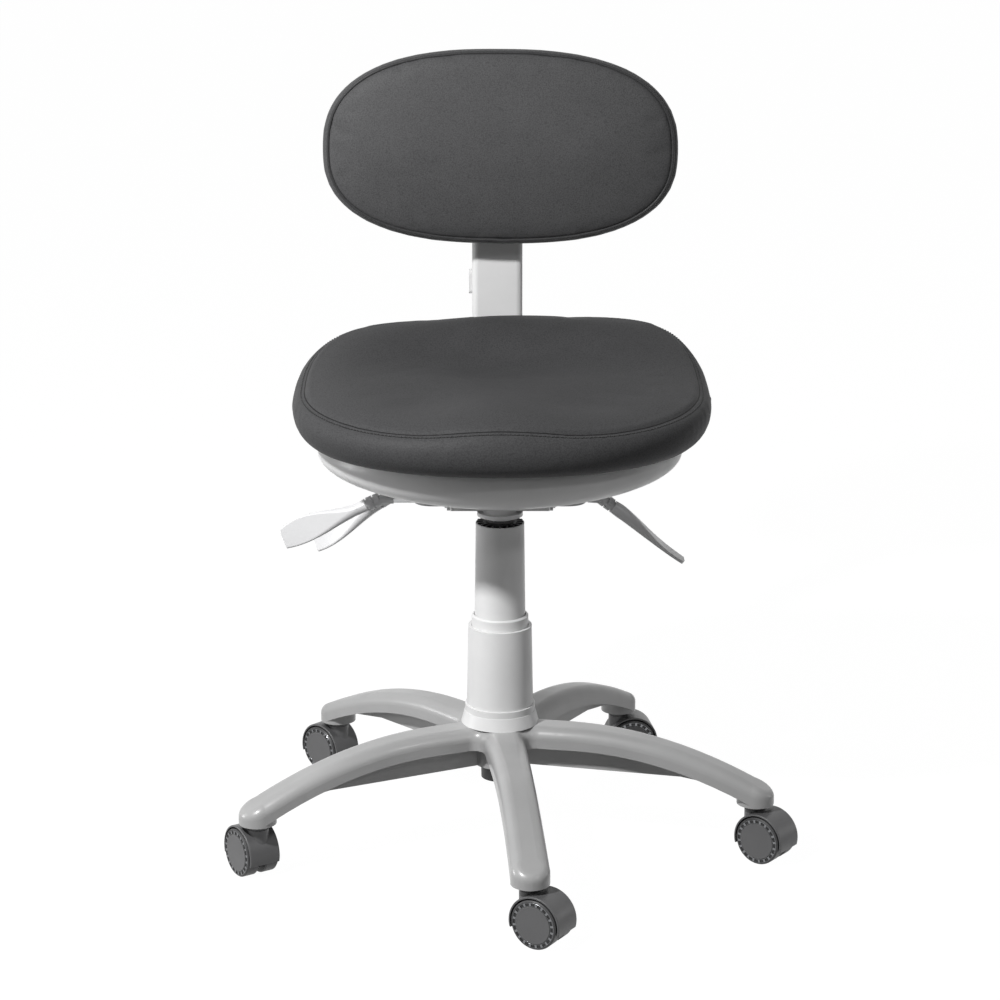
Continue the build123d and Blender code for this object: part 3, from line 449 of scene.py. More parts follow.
@dataclass(frozen=True)
class Leatherette(Finish):
    """PVC-coated upholstery cloth, embossed with a fine pebble grain.

    The embossing breaks the highlight into a soft sheen, and the pores stay a
    shade darker.  A sewn panel also gets painted shade along its fold and its
    stitch row, where a groove is pressed in.
    """

    pebble: float = 1.5  # mean width of a pebble in millimetres
    relief: float = 0.10  # depth of the embossing in millimetres
    sheen: float = 0.12  # strength of the coating's reflection
    seam_groove_and_shade: float = 0.0  # half the width of a seam's groove and its painted shade line in millimetres, none if zero

    @staticmethod
    def line_at(tree: NodeTree, distance: NodeSocket, place: float, half: float) -> NodeSocket:
        """One on a sewn line and zero away from it.

        Args:
            tree: the node tree.
            distance: signed distance from the seam in millimetres.
            place: where the line lies on that scale.
            half: half the line's width.

        Returns:
            The socket.
        """
        gap = add_node(tree, "Math", {"operation": "SUBTRACT"}, {1: place}, {0: distance})
        away = add_node(tree, "Math", {"operation": "ABSOLUTE"}, links={0: gap.outputs[0]})
        values = {"From Min": half * 0.4, "From Max": half * 1.6, "To Min": 1, "To Max": 0}
        fields = {"interpolation_type": "SMOOTHSTEP"}
        return add_node(tree, "MapRange", fields, values, {"Value": away.outputs[0]}).outputs[0]

    def paint(self, tree: NodeTree, place: NodeSocket) -> None:
        """Add the grain, its pores and the sewn lines' grooves with painted shade."""
        warp = add_node(
            tree, "TexNoise", values={"Scale": 1 / (3 * MM), "Detail": 1.0},
            links={"Vector": place},
        ).outputs["Color"]
        shift = add_node(
            tree, "VectorMath", {"operation": "MULTIPLY_ADD"},
            {1: (0.8 * MM,) * 3}, {0: warp, 2: place},
        ).outputs[0]
        cells = add_node(
            tree, "TexVoronoi", {"feature": "SMOOTH_F1"},
            {"Scale": 1 / (self.pebble * MM), "Smoothness": 0.6}, {"Vector": shift},
        ).outputs["Distance"]
        mottle = self.cloud(tree, place, 26, 3)
        stretch = self.cloud(tree, place, 7, 2)
        pores = add_node(
            tree, "MapRange", values={"From Min": 0.1, "From Max": 0.8, "To Min": 0, "To Max": 1},
            links={"Value": cells},
        ).outputs[0]
        colour = add_node(
            tree, "Mix", {"data_type": "RGBA", "blend_type": "MULTIPLY"},
            {7: linear("#cfcfcf")}, {0: pores, 6: self.tint(tree, mottle, {0.3: 0.98, 0.7: 1.02})},
        ).outputs[2]
        height = add_node(
            tree, "Math", {"operation": "MULTIPLY_ADD"}, {1: 0.5}, {0: stretch, 2: pores}
        ).outputs[0]
        rough = self.spread(tree, mottle, self.roughness - 0.04, self.roughness + 0.04)
        if self.seam_groove_and_shade:
            mark = {"attribute_name": "seam_distance"}
            seam = add_node(tree, "Attribute", mark).outputs["Fac"]
            fold = self.line_at(tree, seam, 0.0, self.seam_groove_and_shade)
            row = self.line_at(tree, seam, STITCH_ROW, 0.8 * self.seam_groove_and_shade)
            links = {0: fold, 1: row}
            pinch = add_node(tree, "Math", {"operation": "MAXIMUM"}, links=links).outputs[0]
            # painted shade: the colour darkens to a quarter along the seam's fold and its stitch
            # row, where the bump presses a groove
            colour = add_node(
                tree, "Mix", {"data_type": "RGBA", "blend_type": "MIX"},
                {7: linear(shade(self.colour, 0.24))}, {0: pinch, 6: colour},
            ).outputs[2]
            height = add_node(
                tree, "Math", {"operation": "MULTIPLY_ADD"}, {1: -4.0}, {0: pinch, 2: height}
            ).outputs[0]
        relief = self.bump(tree, height, 0.55, self.relief)
        self.close(
            tree, {"IOR": self.ior, "Specular IOR Level": self.sheen},
            {"Base Color": colour, "Roughness": rough, "Normal": relief},
        )


@dataclass(frozen=True)
class MouldedPlastic(Finish):
    """Injection-moulded plastic from a spark-eroded tool.

    The tool leaves a matt orange-peel skin, handling polishes it in patches,
    and the melt leaves faint clouds of shade.
    """

    grit: float = 0.9  # width of the skin's texture in millimetres
    relief: float = 0.02  # depth of that texture in millimetres
    cloud_size: float = 45.0  # width of the shade's clouds in millimetres
    contrast: float = 0.012  # how far the shade varies either way
    coat: float = 0.0  # weight of the gloss layer over the skin

    def paint(self, tree: NodeTree, place: NodeSocket) -> None:
        """Add the skin, its clouds and its polish."""
        clouds = self.cloud(tree, place, self.cloud_size, 3)
        colour = self.tint(tree, clouds, {0.3: 1 - self.contrast, 0.7: 1 + self.contrast})
        polish = self.cloud(tree, place, self.cloud_size / 2, 4)
        rough = self.spread(tree, polish, self.roughness + 0.05, self.roughness - 0.05)
        skin = self.bump(tree, self.cloud(tree, place, self.grit, 2), 0.5, self.relief)
        self.close(
            tree, {"IOR": self.ior, "Coat Weight": self.coat, "Coat Roughness": 0.12},
            {"Base Color": colour, "Roughness": rough, "Normal": skin},
        )


@dataclass(frozen=True)
class PlatedMetal(Finish):
    """Plated or blackened metal.

    A bright plate mirrors its surroundings, with a faint haze of fine
    scratches; a zinc plate has larger clouds of dullness.
    """

    haze: float = 9.0  # width of the dull clouds in millimetres
    scratch: float = 1.2  # width of the fine marks in millimetres
    variation: float = 0.04  # how far the roughness varies either way
    turning: float = 0.0  # length of one radian of the turning marks in millimetres, none if zero

    def paint(self, tree: NodeTree, place: NodeSocket) -> None:
        """Add the haze and its fine marks."""
        clouds = self.cloud(tree, place, self.haze, 4)
        low, high = self.roughness - self.variation, self.roughness + self.variation
        rough = self.spread(tree, clouds, low, high)
        if self.turning:
            marks = self.waves(tree, place, self.turning, "Z", 0.4)
        else:
            marks = self.cloud(tree, place, self.scratch, 2)
        colour = self.tint(tree, clouds, {0.3: 0.96, 0.7: 1.0})
        relief = self.bump(tree, marks, 0.25, 0.01)
        links = {"Base Color": colour, "Roughness": rough, "Normal": relief}
        self.close(tree, {"Metallic": 1.0}, links)


@dataclass(frozen=True)
class Birch(Finish):
    """Rotary-cut birch plywood, sanded and left bare.

    Stretched noise makes the long pale figure of the face veneer, and fine
    plies stack up through the thickness.
    """

    figure: float = 60.0  # length of the grain's streaks in millimetres

    def paint(self, tree: NodeTree, place: NodeSocket) -> None:
        """Add the figure of the veneer."""
        stretched = add_node(
            tree, "Mapping", values={"Scale": (12.0, 1.0, 12.0)}, links={"Vector": place}
        ).outputs[0]
        grain = self.cloud(tree, stretched, self.figure, 5)
        colour = self.tint(tree, grain, {0.3: 0.86, 0.55: 1.0, 0.7: 1.06})
        rough = self.spread(tree, grain, self.roughness - 0.05, self.roughness + 0.05)
        relief = self.bump(tree, grain, 0.3, 0.05)
        links = {"Base Color": colour, "Roughness": rough, "Normal": relief}
        self.close(tree, {"IOR": self.ior}, links)


@dataclass(frozen=True)
class SpunThread(Finish):
    """Bonded polyester sewing thread, a three-ply twist drawn tight."""

    twist: float = 0.9  # about the length of one radian of the ply's relief and painted shade in millimetres

    def paint(self, tree: NodeTree, place: NodeSocket) -> None:
        """Add the twist of the ply, as relief and as painted shade in the colour."""
        ply = self.waves(tree, place, self.twist, "DIAGONAL", 1.5)
        # painted shade: the colour darkens where the ply's wave, and so its bump, is low
        colour = self.tint(tree, ply, {0.2: 0.7, 0.8: 1.1})
        self.close(
            tree, {"IOR": self.ior, "Sheen Weight": 0.15, "Roughness": self.roughness},
            {"Base Color": colour, "Normal": self.bump(tree, ply, 0.5, 0.08)},
        )


# ------------------------------------------------------------------ soft goods
def read_vectors(rows: bpy.types.bpy_prop_collection, name: str) -> Array:
    """Read one vector from every row of a mesh's data.

    Args:
        rows: the mesh's vertices or its vertex normals.
        name: the property that holds the vector.

    Returns:
        Count by three.
    """
    flat = np.empty(3 * len(rows), dtype=np.float32)
    rows.foreach_get(name, flat)
    return flat.reshape(-1, 3).astype(float)


def points_of(mesh: Mesh) -> Array:
    """Vertex places of a mesh as count by three."""
    return read_vectors(mesh.vertices, "co")


def move_points(mesh: Mesh, points: Array) -> None:
    """Put a mesh's vertices at new places."""
    mesh.vertices.foreach_set("co", points.astype(np.float32).ravel())
    mesh.update()


def push(mesh: Mesh, reach: Array) -> None:
    """Move a mesh's vertices along their normals.

    Args:
        mesh: the mesh.
        reach: how far outwards each vertex goes, in millimetres.
    """
    normals = read_vectors(mesh.vertex_normals, "vector")
    move_points(mesh, points_of(mesh) + reach[:, None] * MM * normals)


def bake(piece: Object) -> None:
    """Apply a piece's modifiers to its mesh.

    Args:
        piece: the object, which keeps no modifier.
    """
    graph = bpy.context.evaluated_depsgraph_get()
    mesh = bpy.data.meshes.new_from_object(piece.evaluated_get(graph))
    piece.modifiers.clear()
    worn, piece.data = piece.data, mesh
    bpy.data.meshes.remove(worn)
    mesh.name = piece.name
    mesh.shade_smooth()


@dataclass
class Foam:
    """Foam under a stretched cover: evens a closed shape and swells it a little."""

    cap: float  # the furthest that a point may move in millimetres
    voxel: float = 5.0  # size of the even mesh in millimetres
    ease: int = 3  # rounds of smoothing after the remesh
    pressure: float = 4.0  # how hard the foam pushes the cover out
    hold: float = 0.1  # how firmly the moulded foam keeps its own shape, one being rigid
    mass: float = 0.3  # mass of the cover at each vertex
    stretch: float = 25.0  # the cover's stiffness against stretching and squeezing
    bend: float = 2.0  # the cover's stiffness against bending
    last_frame: int = 20  # the frame at which the cover has settled

    def fill(self, piece: Object, held: Callable[[Array], Array]) -> None:
        """Remesh, swell under pressure, hold the motion to the cap and subdivide.

        Args:
            piece: the closed cover.
            held: says of each point whether it is fixed to the board.
        """
        even = piece.modifiers.new("even", "REMESH")
        even.mode, even.voxel_size = "VOXEL", self.voxel * MM
        smooth = piece.modifiers.new("ease", "SMOOTH")
        smooth.factor, smooth.iterations = 0.5, self.ease
        bake(piece)
        self.swell(piece, held)
        fine = piece.modifiers.new("fine", "SUBSURF")
        fine.levels = fine.render_levels = 1
        bake(piece)

    def swell(self, piece: Object, held: Callable[[Array], Array]) -> None:
        """Run the cover's cloth under pressure and keep the capped result.

        Args:
            piece: the evenly meshed cover.
            held: says of each point whether it is fixed to the board.
        """
        start = points_of(piece.data)
        fixed = piece.vertex_groups.new(name="fixed")
        fixed.add(range(len(start)), self.hold, "REPLACE")
        fixed.add(np.flatnonzero(held(start)).tolist(), 1.0, "REPLACE")
        cloth = piece.modifiers.new("cover", "CLOTH")
        settings = cloth.settings
        settings.quality = 5
        settings.mass = self.mass
        settings.tension_stiffness = settings.compression_stiffness = self.stretch
        settings.bending_stiffness = self.bend
        settings.vertex_group_mass = fixed.name
        settings.use_pressure = True
        settings.uniform_pressure_force = self.pressure
        settings.effector_weights.gravity = 0
        cloth.point_cache.frame_end = self.last_frame
        scene = bpy.context.scene
        for frame_number in range(1, self.last_frame + 1):
            scene.frame_set(frame_number)
        settled = piece.evaluated_get(bpy.context.evaluated_depsgraph_get())
        move = points_of(settled.to_mesh()) - start
        settled.to_mesh_clear()
        reach = np.linalg.norm(move, axis=1, keepdims=True)
        limit = self.cap * MM
        move *= limit * np.tanh(reach / limit) / np.maximum(reach, 1e-9)
        piece.modifiers.clear()
        move_points(piece.data, start + move)
        scene.frame_set(1)
        LOG.info("%s swelled by at most %.1f mm", piece.name, reach.max() / MM)


@dataclass
class Seam:
    """A closed line sewn on a finished cover."""

    points: Array  # places along the line as count by three
    normals: Array  # the cover's outward directions there

    @classmethod
    def on(cls, piece: Object, path: Array) -> "Seam":
        """Lay a path onto a cover at its nearest points, and smooth it.

        Args:
            piece: the cover.
            path: closed path as count by three.

        Returns:
            The seam on the cover's surface.
        """
        tree = BVHTree.FromObject(piece, bpy.context.evaluated_depsgraph_get())
        hits = [tree.find_nearest(Vector(point)) for point in path]
        points, normals = (np.array([hit[part][:] for hit in hits]) for part in range(2))
        for _ in range(SEAM_ROUNDS):
            points = (np.roll(points, 1, axis=0) + 2 * points + np.roll(points, -1, axis=0)) / 4
            normals = np.roll(normals, 1, axis=0) + normals + np.roll(normals, -1, axis=0)
        return cls(points, unit(normals))

    @property
    def tangents(self) -> Array:
        """Unit directions along the seam."""
        return unit(np.roll(self.points, -1, axis=0) - np.roll(self.points, 1, axis=0))

    @property
    def across(self) -> Array:
        """Unit directions in the cover, square to the seam."""
        return unit(np.cross(self.tangents, self.normals))

    def beside(self, piece: Object, reach: float) -> "Seam":
        """The line that runs beside this one on the same cover.

        Args:
            piece: the cover.
            reach: how far to the side, in millimetres.

        Returns:
            The new seam.
        """
        return Seam.on(piece, self.points + reach * MM * self.across)

    def distance(self, points: Array) -> Array:
        """Signed distance in millimetres, square to the nearest stretch of the seam.

        The offset from the nearest seam point loses its part along the seam;
        what is left is its length, with the sign of its part across.

        Args:
            points: places as count by three.

        Returns:
            One number for each place.
        """
        result = np.empty(len(points))
        tangents, across = self.tangents, self.across
        for first in range(0, len(points), DISTANCE_BLOCK):
            some = points[first:first + DISTANCE_BLOCK]
            nearest = ((some[:, None] - self.points[None]) ** 2).sum(axis=2).argmin(axis=1)
            offset = some - self.points[nearest]
            along = (offset * tangents[nearest]).sum(axis=1)
            side = (offset * across[nearest]).sum(axis=1)
            square = np.sqrt(np.maximum((offset ** 2).sum(axis=1) - along ** 2, 0))
            result[first:first + DISTANCE_BLOCK] = np.where(side < 0, -square, square) / MM
        return result

    def even(self, pitch: float) -> "Seam":
        """The same line with points at an even pitch.

        Args:
            pitch: the spacing in millimetres.

        Returns:
            The resampled seam.
        """
        closed, facing = (np.vstack([rows, rows[:1]]) for rows in (self.points, self.normals))
        length = length_run(closed)
        count = int(length[-1] / (pitch * MM))
        return Seam(even_steps(length, closed, count), unit(even_steps(length, facing, count)))


@dataclass(frozen=True)
class StitchRow:
    """Row of stitches, each a spindle of thread lying along a seam.

    A stitch is its centre + u * along + v * across + w * out, where v and w
    trace a circle whose radius follows an ellipse along u; it lies on the
    cover and its ends dive.  Sizes are millimetres.
    """

    pitch: float = 4.2  # from one stitch to the next
    length: float = 2.6  # of one stitch
    thread: float = 0.7  # the thread's radius
    lift: float = 0.6  # how far the middle of a stitch lies out, in thread radii
    blunt: float = 0.96  # how much of the ellipse is used, an end closing to a point at one
    rings: int = 6  # how many rings of points a stitch has
    sides: int = 6  # points round each ring

    def build(self, name: str, seam: Seam) -> Object:
        """Build the row.

        Args:
            name: the piece's name.
            seam: the line that the stitches follow.

        Returns:
            The row as one mesh of closed spindles.
        """
        line = seam.even(self.pitch)
        along = np.linspace(-1, 1, self.rings)[:, None]
        turn = turns(self.sides)[None]
        swell = np.sqrt(np.maximum(1 - (self.blunt * along) ** 2, 0))
        u = (along * self.length / 2 + 0 * turn).ravel() * MM
        v = (swell * np.cos(turn)).ravel() * self.thread * MM
        w = (swell * np.sin(turn) + self.lift - self.lift * along ** 2).ravel() * self.thread * MM
        points = line.points[:, None]
        for size, way in ((u, line.tangents), (v, line.across), (w, line.normals)):
            points = points + size[None, :, None] * way[:, None]
        cell = np.arange(self.rings * self.sides).reshape(self.rings, self.sides)
        shift = (np.arange(len(line.points)) * cell.size)[:, None, None]
        faces = (tube_quads(cell) + shift).reshape(-1, 4).tolist()
        for end in (cell[0, ::-1], cell[-1]):
            faces += (end + shift[:, 0]).tolist()
        piece = new_piece(name, points.reshape(-1, 3), faces)
        outward(piece)
        return piece


def outward(piece: Object) -> None:
    """Point the faces of closed shells outwards."""
    shell = bmesh.new()
    shell.from_mesh(piece.data)
    bmesh.ops.recalc_face_normals(shell, faces=shell.faces)
    shell.to_mesh(piece.data)
    shell.free()


@dataclass(frozen=True)
class Swell:
    """A rise or a hollow that grows from a line towards the cushion's edge."""

    rise: float  # its full height or depth
    width: float  # how far it reaches to either side
    start: float  # where it begins, from the seat's middle
    run: float  # over how far it grows

    def at(self, across: Array, along: Array) -> Array:
        """Its height at a place.

        Args:
            across: distance to the side of its ridge.
            along: distance from the seat's middle, the way it grows.

        Returns:
            Heights in millimetres.
        """
        return self.rise * bell(across, self.width) * grow(along, self.start, self.run)


@dataclass
class SeatCushion:
    """Moulded foam seat in leatherette: a dished, raked top sewn to a bulging border.

    Sizes are millimetres.  A span is where something begins, from the middle,
    and over how far it grows.
    """

    half_width: float = 213.0  # half the widest outline, across
    front_depth: float = 195.0  # from the middle to the front of the widest outline
    rear_depth: float = 187.0  # from the middle to the rear of the widest outline
    front_power: float = 2.2  # squareness of the outline's front half
    rear_power: float = 3.3  # squareness of the outline's rear half
    aside: float = 2.0  # how far the cushion sits off the middle
    base: float = 437.2  # height of the flat underside
    base_share: float = 0.88  # size of the base outline over the widest one
    widest: float = 475.0  # height of the widest line in the middle
    widest_rake: float = 0.07  # rise of the widest line towards the back, as a slope
    border_power: float = 2.2  # how late the border leans in on its way up to the seam
    seam: float = 488.0  # height of the top seam over the middle of the seat
    seam_share: float = 0.943  # size of the seam's outline over the widest one
    seam_pinch: float = 0.02  # how much smaller still that share is at the rear corners
    # the spans of that pinch, sideways and backwards
    pinch_aside: Pair = (60.0, 110.0)
    pinch_back: Pair = (20.0, 110.0)
    rake: float = 0.1287  # mean slope of the seam towards the back
    rake_bend: float = 0.0708  # how much steeper it is behind and flatter in front
    rake_blend: float = 30.0  # how far from the middle that change takes
    pommel: Swell = Swell(10.0, 75.0, 20.0, 130.0)  # the rise in the middle of the front
    ridge: Swell = Swell(3.0, 70.0, 30.0, 130.0)  # the rise in the middle of the rear
    wings: float = 6.0  # rise of the rear corners
    # the spans of those wings, sideways and backwards
    wings_aside: Pair = (55.0, 120.0)
    wings_back: Pair = (30.0, 110.0)
    lean: float = 3.5 / 150  # sideways slope of the rear
    lean_back: Pair = (20.0, 130.0)  # span of the lean, backwards
    crown: float = 6.5  # rise of the top above its seam, before the cover swells
    crown_power: int = 6  # how soon the crown is reached behind the seam
    bowl: float = 15.0  # depth of the sitter's dish
    # the reach of that dish, sideways and fore and aft
    bowl_width: float = 125.0
    bowl_length: float = 60.0
    bowl_back: float = 58.0  # how far behind the middle the dish is deepest
    thighs: Swell = Swell(5.0, 46.0, -10.0, 110.0)  # the shallow hollows in front of the dish
    thighs_aside: float = 88.0  # how far off the middle those hollows lie
    dish_edge: float = 0.45  # how far in, as a share, the hollows have their full depth
    fold: Pair = (1.5, 2.4)  # depth and width of the seam's fold
    groove: Pair = (0.7, 2.0)  # depth and width of the groove under the stitches
    puff: Pair = (0.5, 4.0)  # height and width of the padding's roll inside the seam
    puff_inset: float = 5.5  # how far inside the seam that roll lies
    tacked: float = 2.0  # up to this far above its underside the cover is tacked down
    columns: int = 240  # points round the outline
    # rows of points under the seat, up to the widest line, on the border and on the top
    rows: tuple[int, int, int, int] = (12, 9, 7, 26)
    inward: float = 1.35  # how much closer the top's rows lie near the seam
    foam: Foam = field(default_factory=lambda: Foam(cap=5.0))  # the filling
    stitches: StitchRow = StitchRow()  # the row of topstitching

    def seam_height(self, place: Array) -> Array:
        """Height of the top seam over a place.

        It is raked, steeper behind the middle, with a broad pommel in front
        and a lip that rises at the rear corners, a little more on one side.

        Args:
            place: places over the seat, the last axis x and y.

        Returns:
            Heights in millimetres.
        """
        x, y = place[..., 0], place[..., 1]
        rake = self.rake * y + self.rake_bend * np.hypot(y, self.rake_blend)
        wings = self.wings * grow(np.abs(x), *self.wings_aside) * grow(y, *self.wings_back)
        lean = self.lean * x * grow(y, *self.lean_back)
        return self.seam + rake + self.pommel.at(x, -y) + self.ridge.at(x, y) + wings + lean

    def top_height(self, place: Array, inner: Array) -> Array:
        """Height of the top panel: crowned from its seam, dished for the sitter.

        Args:
            place: places over the seat, the last axis x and y.
            inner: one in the middle, zero on the seam.

        Returns:
            Heights in millimetres.
        """
        x, y = place[..., 0], place[..., 1]
        crown = self.crown * (1 - (1 - inner) ** self.crown_power)
        bowl = self.bowl * bell(x, self.bowl_width) * bell(y - self.bowl_back, self.bowl_length)
        dish = bowl + self.thighs.at(np.abs(x) - self.thighs_aside, -y)
        return self.seam_height(place) + crown - dish * grow(inner, 0, self.dish_edge)

    def outline(self) -> Array:
        """Widest outline as even points, columns by two."""
        depths = (self.front_depth, self.rear_depth)
        return outline_points(
            self.half_width, depths, (self.front_power, self.rear_power), self.columns
        )

    def share_at_seam(self, plan: Array) -> Array:
        """Size of the seam's outline over the widest one, less at the rear corners.

        Args:
            plan: places on the widest outline, the last axis x and y.

        Returns:
            Shares of the widest outline.
        """
        x, y = plan[..., 0], plan[..., 1]
        corner = grow(y, *self.pinch_back) * grow(np.abs(x), *self.pinch_aside)
        return self.seam_share - self.seam_pinch * corner

    def cover(self) -> Array:
        """The whole cover from the middle of its underside to the middle of its top.

        Below the widest line the side is a quarter ellipse, above it the
        border leans in to the seam, and the top follows the top panel's
        height over ever smaller outlines.

        Returns:
            Rows by columns by three, in metres.
        """
        plan = self.outline()[None]
        belly = self.widest + self.widest_rake * plan[..., 1]
        even = np.ones_like(belly)
        sewn = self.share_at_seam(plan)
        under_rows, side_rows, border_rows, top_rows = self.rows
        under = np.linspace(0.02, 0.98, under_rows)[:, None] * even
        quarter = np.linspace(0, np.pi / 2, side_rows)[:, None]
        border = np.linspace(0, 1, border_rows)[1:, None]
        outer = 1 - np.linspace(0, 1, top_rows)[1:-1, None] ** self.inward
        top = sewn * outer
        shares = np.concatenate([
            under * self.base_share,
            (self.base_share + (1 - self.base_share) * np.sin(quarter)) * even,
            1 - (1 - sewn) * border ** self.border_power,
            top,
        ])
        heights = np.concatenate([
            np.full_like(under, self.base + 0.1),
            self.base + (belly - self.base) * (1 - np.cos(quarter)),
            belly + (self.seam_height(plan * sewn[..., None]) - belly) * border,
            self.top_height(plan * top[..., None], 1 - outer * even),
        ])
        rows = np.concatenate([plan * shares[..., None], heights[..., None]], axis=-1)
        return (rows + (self.aside, 0.0, 0.0)) * MM

    def seam_path(self) -> Array:
        """Designed line of the top seam, in metres."""
        plan = self.outline()
        place = plan * self.share_at_seam(plan)[:, None]
        path = np.concatenate([place, self.seam_height(place)[:, None]], axis=1)
        return (path + (self.aside, 0.0, 0.0)) * MM

    def build(self, cover: Material, thread: Material) -> None:
        """Build the seat's cushion and its topstitching.

        Args:
            cover: the leatherette.
            thread: the sewing thread.
        """
        piece = surface("seat_upholstery", self.cover())
        self.foam.fill(piece, lambda places: places[:, 2] < (self.base + self.tacked) * MM)
        seam = Seam.on(piece, self.seam_path())
        side = 1.0 if (seam.across[:, 2] < 0).mean() > 0.5 else -1.0
        row = seam.beside(piece, side * STITCH_ROW)
        gap = seam.distance(points_of(piece.data)) * side
        sunk = self.fold[0] * bell(gap, self.fold[1])
        sunk += self.groove[0] * bell(gap - STITCH_ROW, self.groove[1])
        push(piece.data, self.puff[0] * bell(gap + self.puff_inset, self.puff[1]) - sunk)
        # the seat's leatherette reads this distance to paint shade along the fold and the stitch
        # row
        mark = piece.data.attributes.new("seam_distance", "FLOAT", "POINT")
        mark.data.foreach_set("value", gap.astype(np.float32))
        settle(piece, "seat", cover)
        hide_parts("seat_cushion")
        stitches = self.stitches.build("seat_topstitch", row.beside(piece, 0.0))
        settle(stitches, "seat", thread)


@dataclass
class BackCushion:
    """Backrest cushion: crowned leatherette panel, corded edge and rounded border.

    Sizes are millimetres.  The outline stands upright, and depth is +Y.
    """

    half_width: float = 193.5  # half the outline across
    half_top: float = 110.8  # from the widest line up to the top
    half_low: float = 101.8  # from the widest line down to the lowest point
    power: float = 2.52  # squareness of the outline
    centre: float = 691.0  # height of the widest line
    aside: float = 0.5  # how far the cushion sits off the middle
    tilt: float = 0.49  # the small turn that it is screwed on with, in degrees
    front: float = 218.0  # place of the foremost point of the panel
    rear: float = 262.0  # place of the flat back
    rear_inset: float = 3.0  # how far inside the outline the flat back ends
    rear_ring: float = 6.65  # how far inside it the last row of points on the back lies
    crown: float = 9.5  # how far the panel falls back from its middle to its edge
    shoulder: float = 22.0  # width of the rounded edge between the cord and the panel
    cord_inset: float = 3.6  # how far inside the outline the cord is sewn
    cord_lift: float = 2.9  # how far the cord's ring is carried up on the border
    cord_depth: float = 17.0  # how far behind the foremost point the cord lies
    cord_radius: float = 1.9  # radius of the piping cord
    cord_pitch: float = 2.0  # spacing of the cord's rings of points
    cord_sides: int = 12  # points round each of those rings
    join: float = 3.0  # where across the cord's two ends meet, at the bottom
    join_width: float = 7.0  # how far the swelling of that joint reaches
    join_rise: float = 0.9  # how far the joint swells out
    fold: Pair = (1.6, 3.0)  # depth and width of the fold under the cord
    tacked: float = 4.0  # up to this far ahead of its flat back the cover is tacked down
    columns: int = 240  # points round the outline
    # rows of points on the back, on the border, on the shoulder and on the panel
    rows: tuple[int, int, int, int] = (12, 9, 8, 16)
    # how soon the shoulder turns, and how late the panel falls back
    shoulder_power: float = 2.2
    panel_power: float = 1.6
    foam: Foam = field(default_factory=lambda: Foam(cap=2.5))  # the filling

    def outline(self, inset: float, depth: float, lift: float) -> Array:
        """Upright outline drawn in by an inset, in metres.

        Args:
            inset: how far inside the widest outline.
            depth: its place fore and aft.
            lift: how far it is carried up, which also narrows it.

        Returns:
            Columns by three.
        """
        halves = (self.half_low - inset, self.half_top - inset)
        plan = outline_points(
            self.half_width - inset - lift, halves, (self.power, self.power), self.columns
        ) + (0.0, lift)
        turn = math.radians(self.tilt)
        x = self.aside + plan[:, 0] * math.cos(turn) + plan[:, 1] * math.sin(turn)
        z = self.centre - plan[:, 0] * math.sin(turn) + plan[:, 1] * math.cos(turn)
        return np.stack([x, np.full_like(x, depth), z], axis=-1) * MM

    def cover(self) -> Array:
        """Cover from the middle of the back, round the border, to the middle of the front.

        The border is a barrel curve from the flat back to the cord, the
        shoulder is a quarter round of decreasing turn, and the panel is a
        paraboloid of the outline's share.

        Returns:
            Rows by columns by three, in metres.
        """
        cord, edge = self.front + self.cord_depth, self.front + self.crown
        back_rows, border_rows, shoulder_rows, panel_rows = self.rows
        insets = np.linspace(self.half_low - self.rear_inset, self.rear_ring, back_rows)
        rows = [(inset, self.rear, 0.0) for inset in insets]
        for share in np.linspace(0, 1, border_rows):
            inset = self.rear_inset * (1 - share) ** 4 + self.cord_inset * share ** 3
            depth = self.rear + (cord - self.rear) * share
            rows.append((inset, depth, self.cord_lift * share ** 3))
        for share in np.linspace(0, 1, shoulder_rows)[1:]:
            depth = edge + (cord - edge) * (1 - share) ** self.shoulder_power
            rows.append((self.cord_inset + self.shoulder * share, depth, self.cord_lift))
        panel = self.half_low - self.cord_inset - self.shoulder
        for share in np.linspace(1, 0.03, panel_rows)[1:]:
            depth = self.front + self.crown * share ** self.panel_power
            rows.append((self.half_low - panel * share, depth, self.cord_lift))
        return np.stack([self.outline(*row) for row in rows])

    def build(self, cover: Material, piping: Material) -> None:
        """Build the backrest's cushion and its piping.

        Args:
            cover: the leatherette.
            piping: the leatherette folded round a cord.
        """
        piece = surface("back_upholstery", self.cover())
        self.foam.fill(piece, lambda places: places[:, 1] > (self.rear - self.tacked) * MM)
        sewn = self.outline(self.cord_inset, self.front + self.cord_depth, self.cord_lift)
        seam = Seam.on(piece, sewn)
        depth, width = self.fold
        push(piece.data, -depth * bell(seam.distance(points_of(piece.data)), width))
        settle(piece, "backrest", cover)
        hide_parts("back_cushion")
        line = Seam.on(piece, seam.points).even(self.cord_pitch)
        below = line.points[:, 2] < self.centre * MM
        ends = bell(line.points[:, 0] / MM - self.join, self.join_width) * below
        lift = (0.5 * self.cord_radius + self.join_rise * ends) * MM
        path = line.points + lift[:, None] * line.normals
        ahead = np.array([0.0, -1.0, 0.0]) + 0 * path
        cord = tube_along("back_piping", path, self.cord_radius * MM, ahead, self.cord_sides)
        settle(cord, "backrest", piping)


# ------------------------------------------------------------------ casters
class Side(Enum):
    """The two wheels of a caster."""

    LEFT = "left"
    RIGHT = "right"


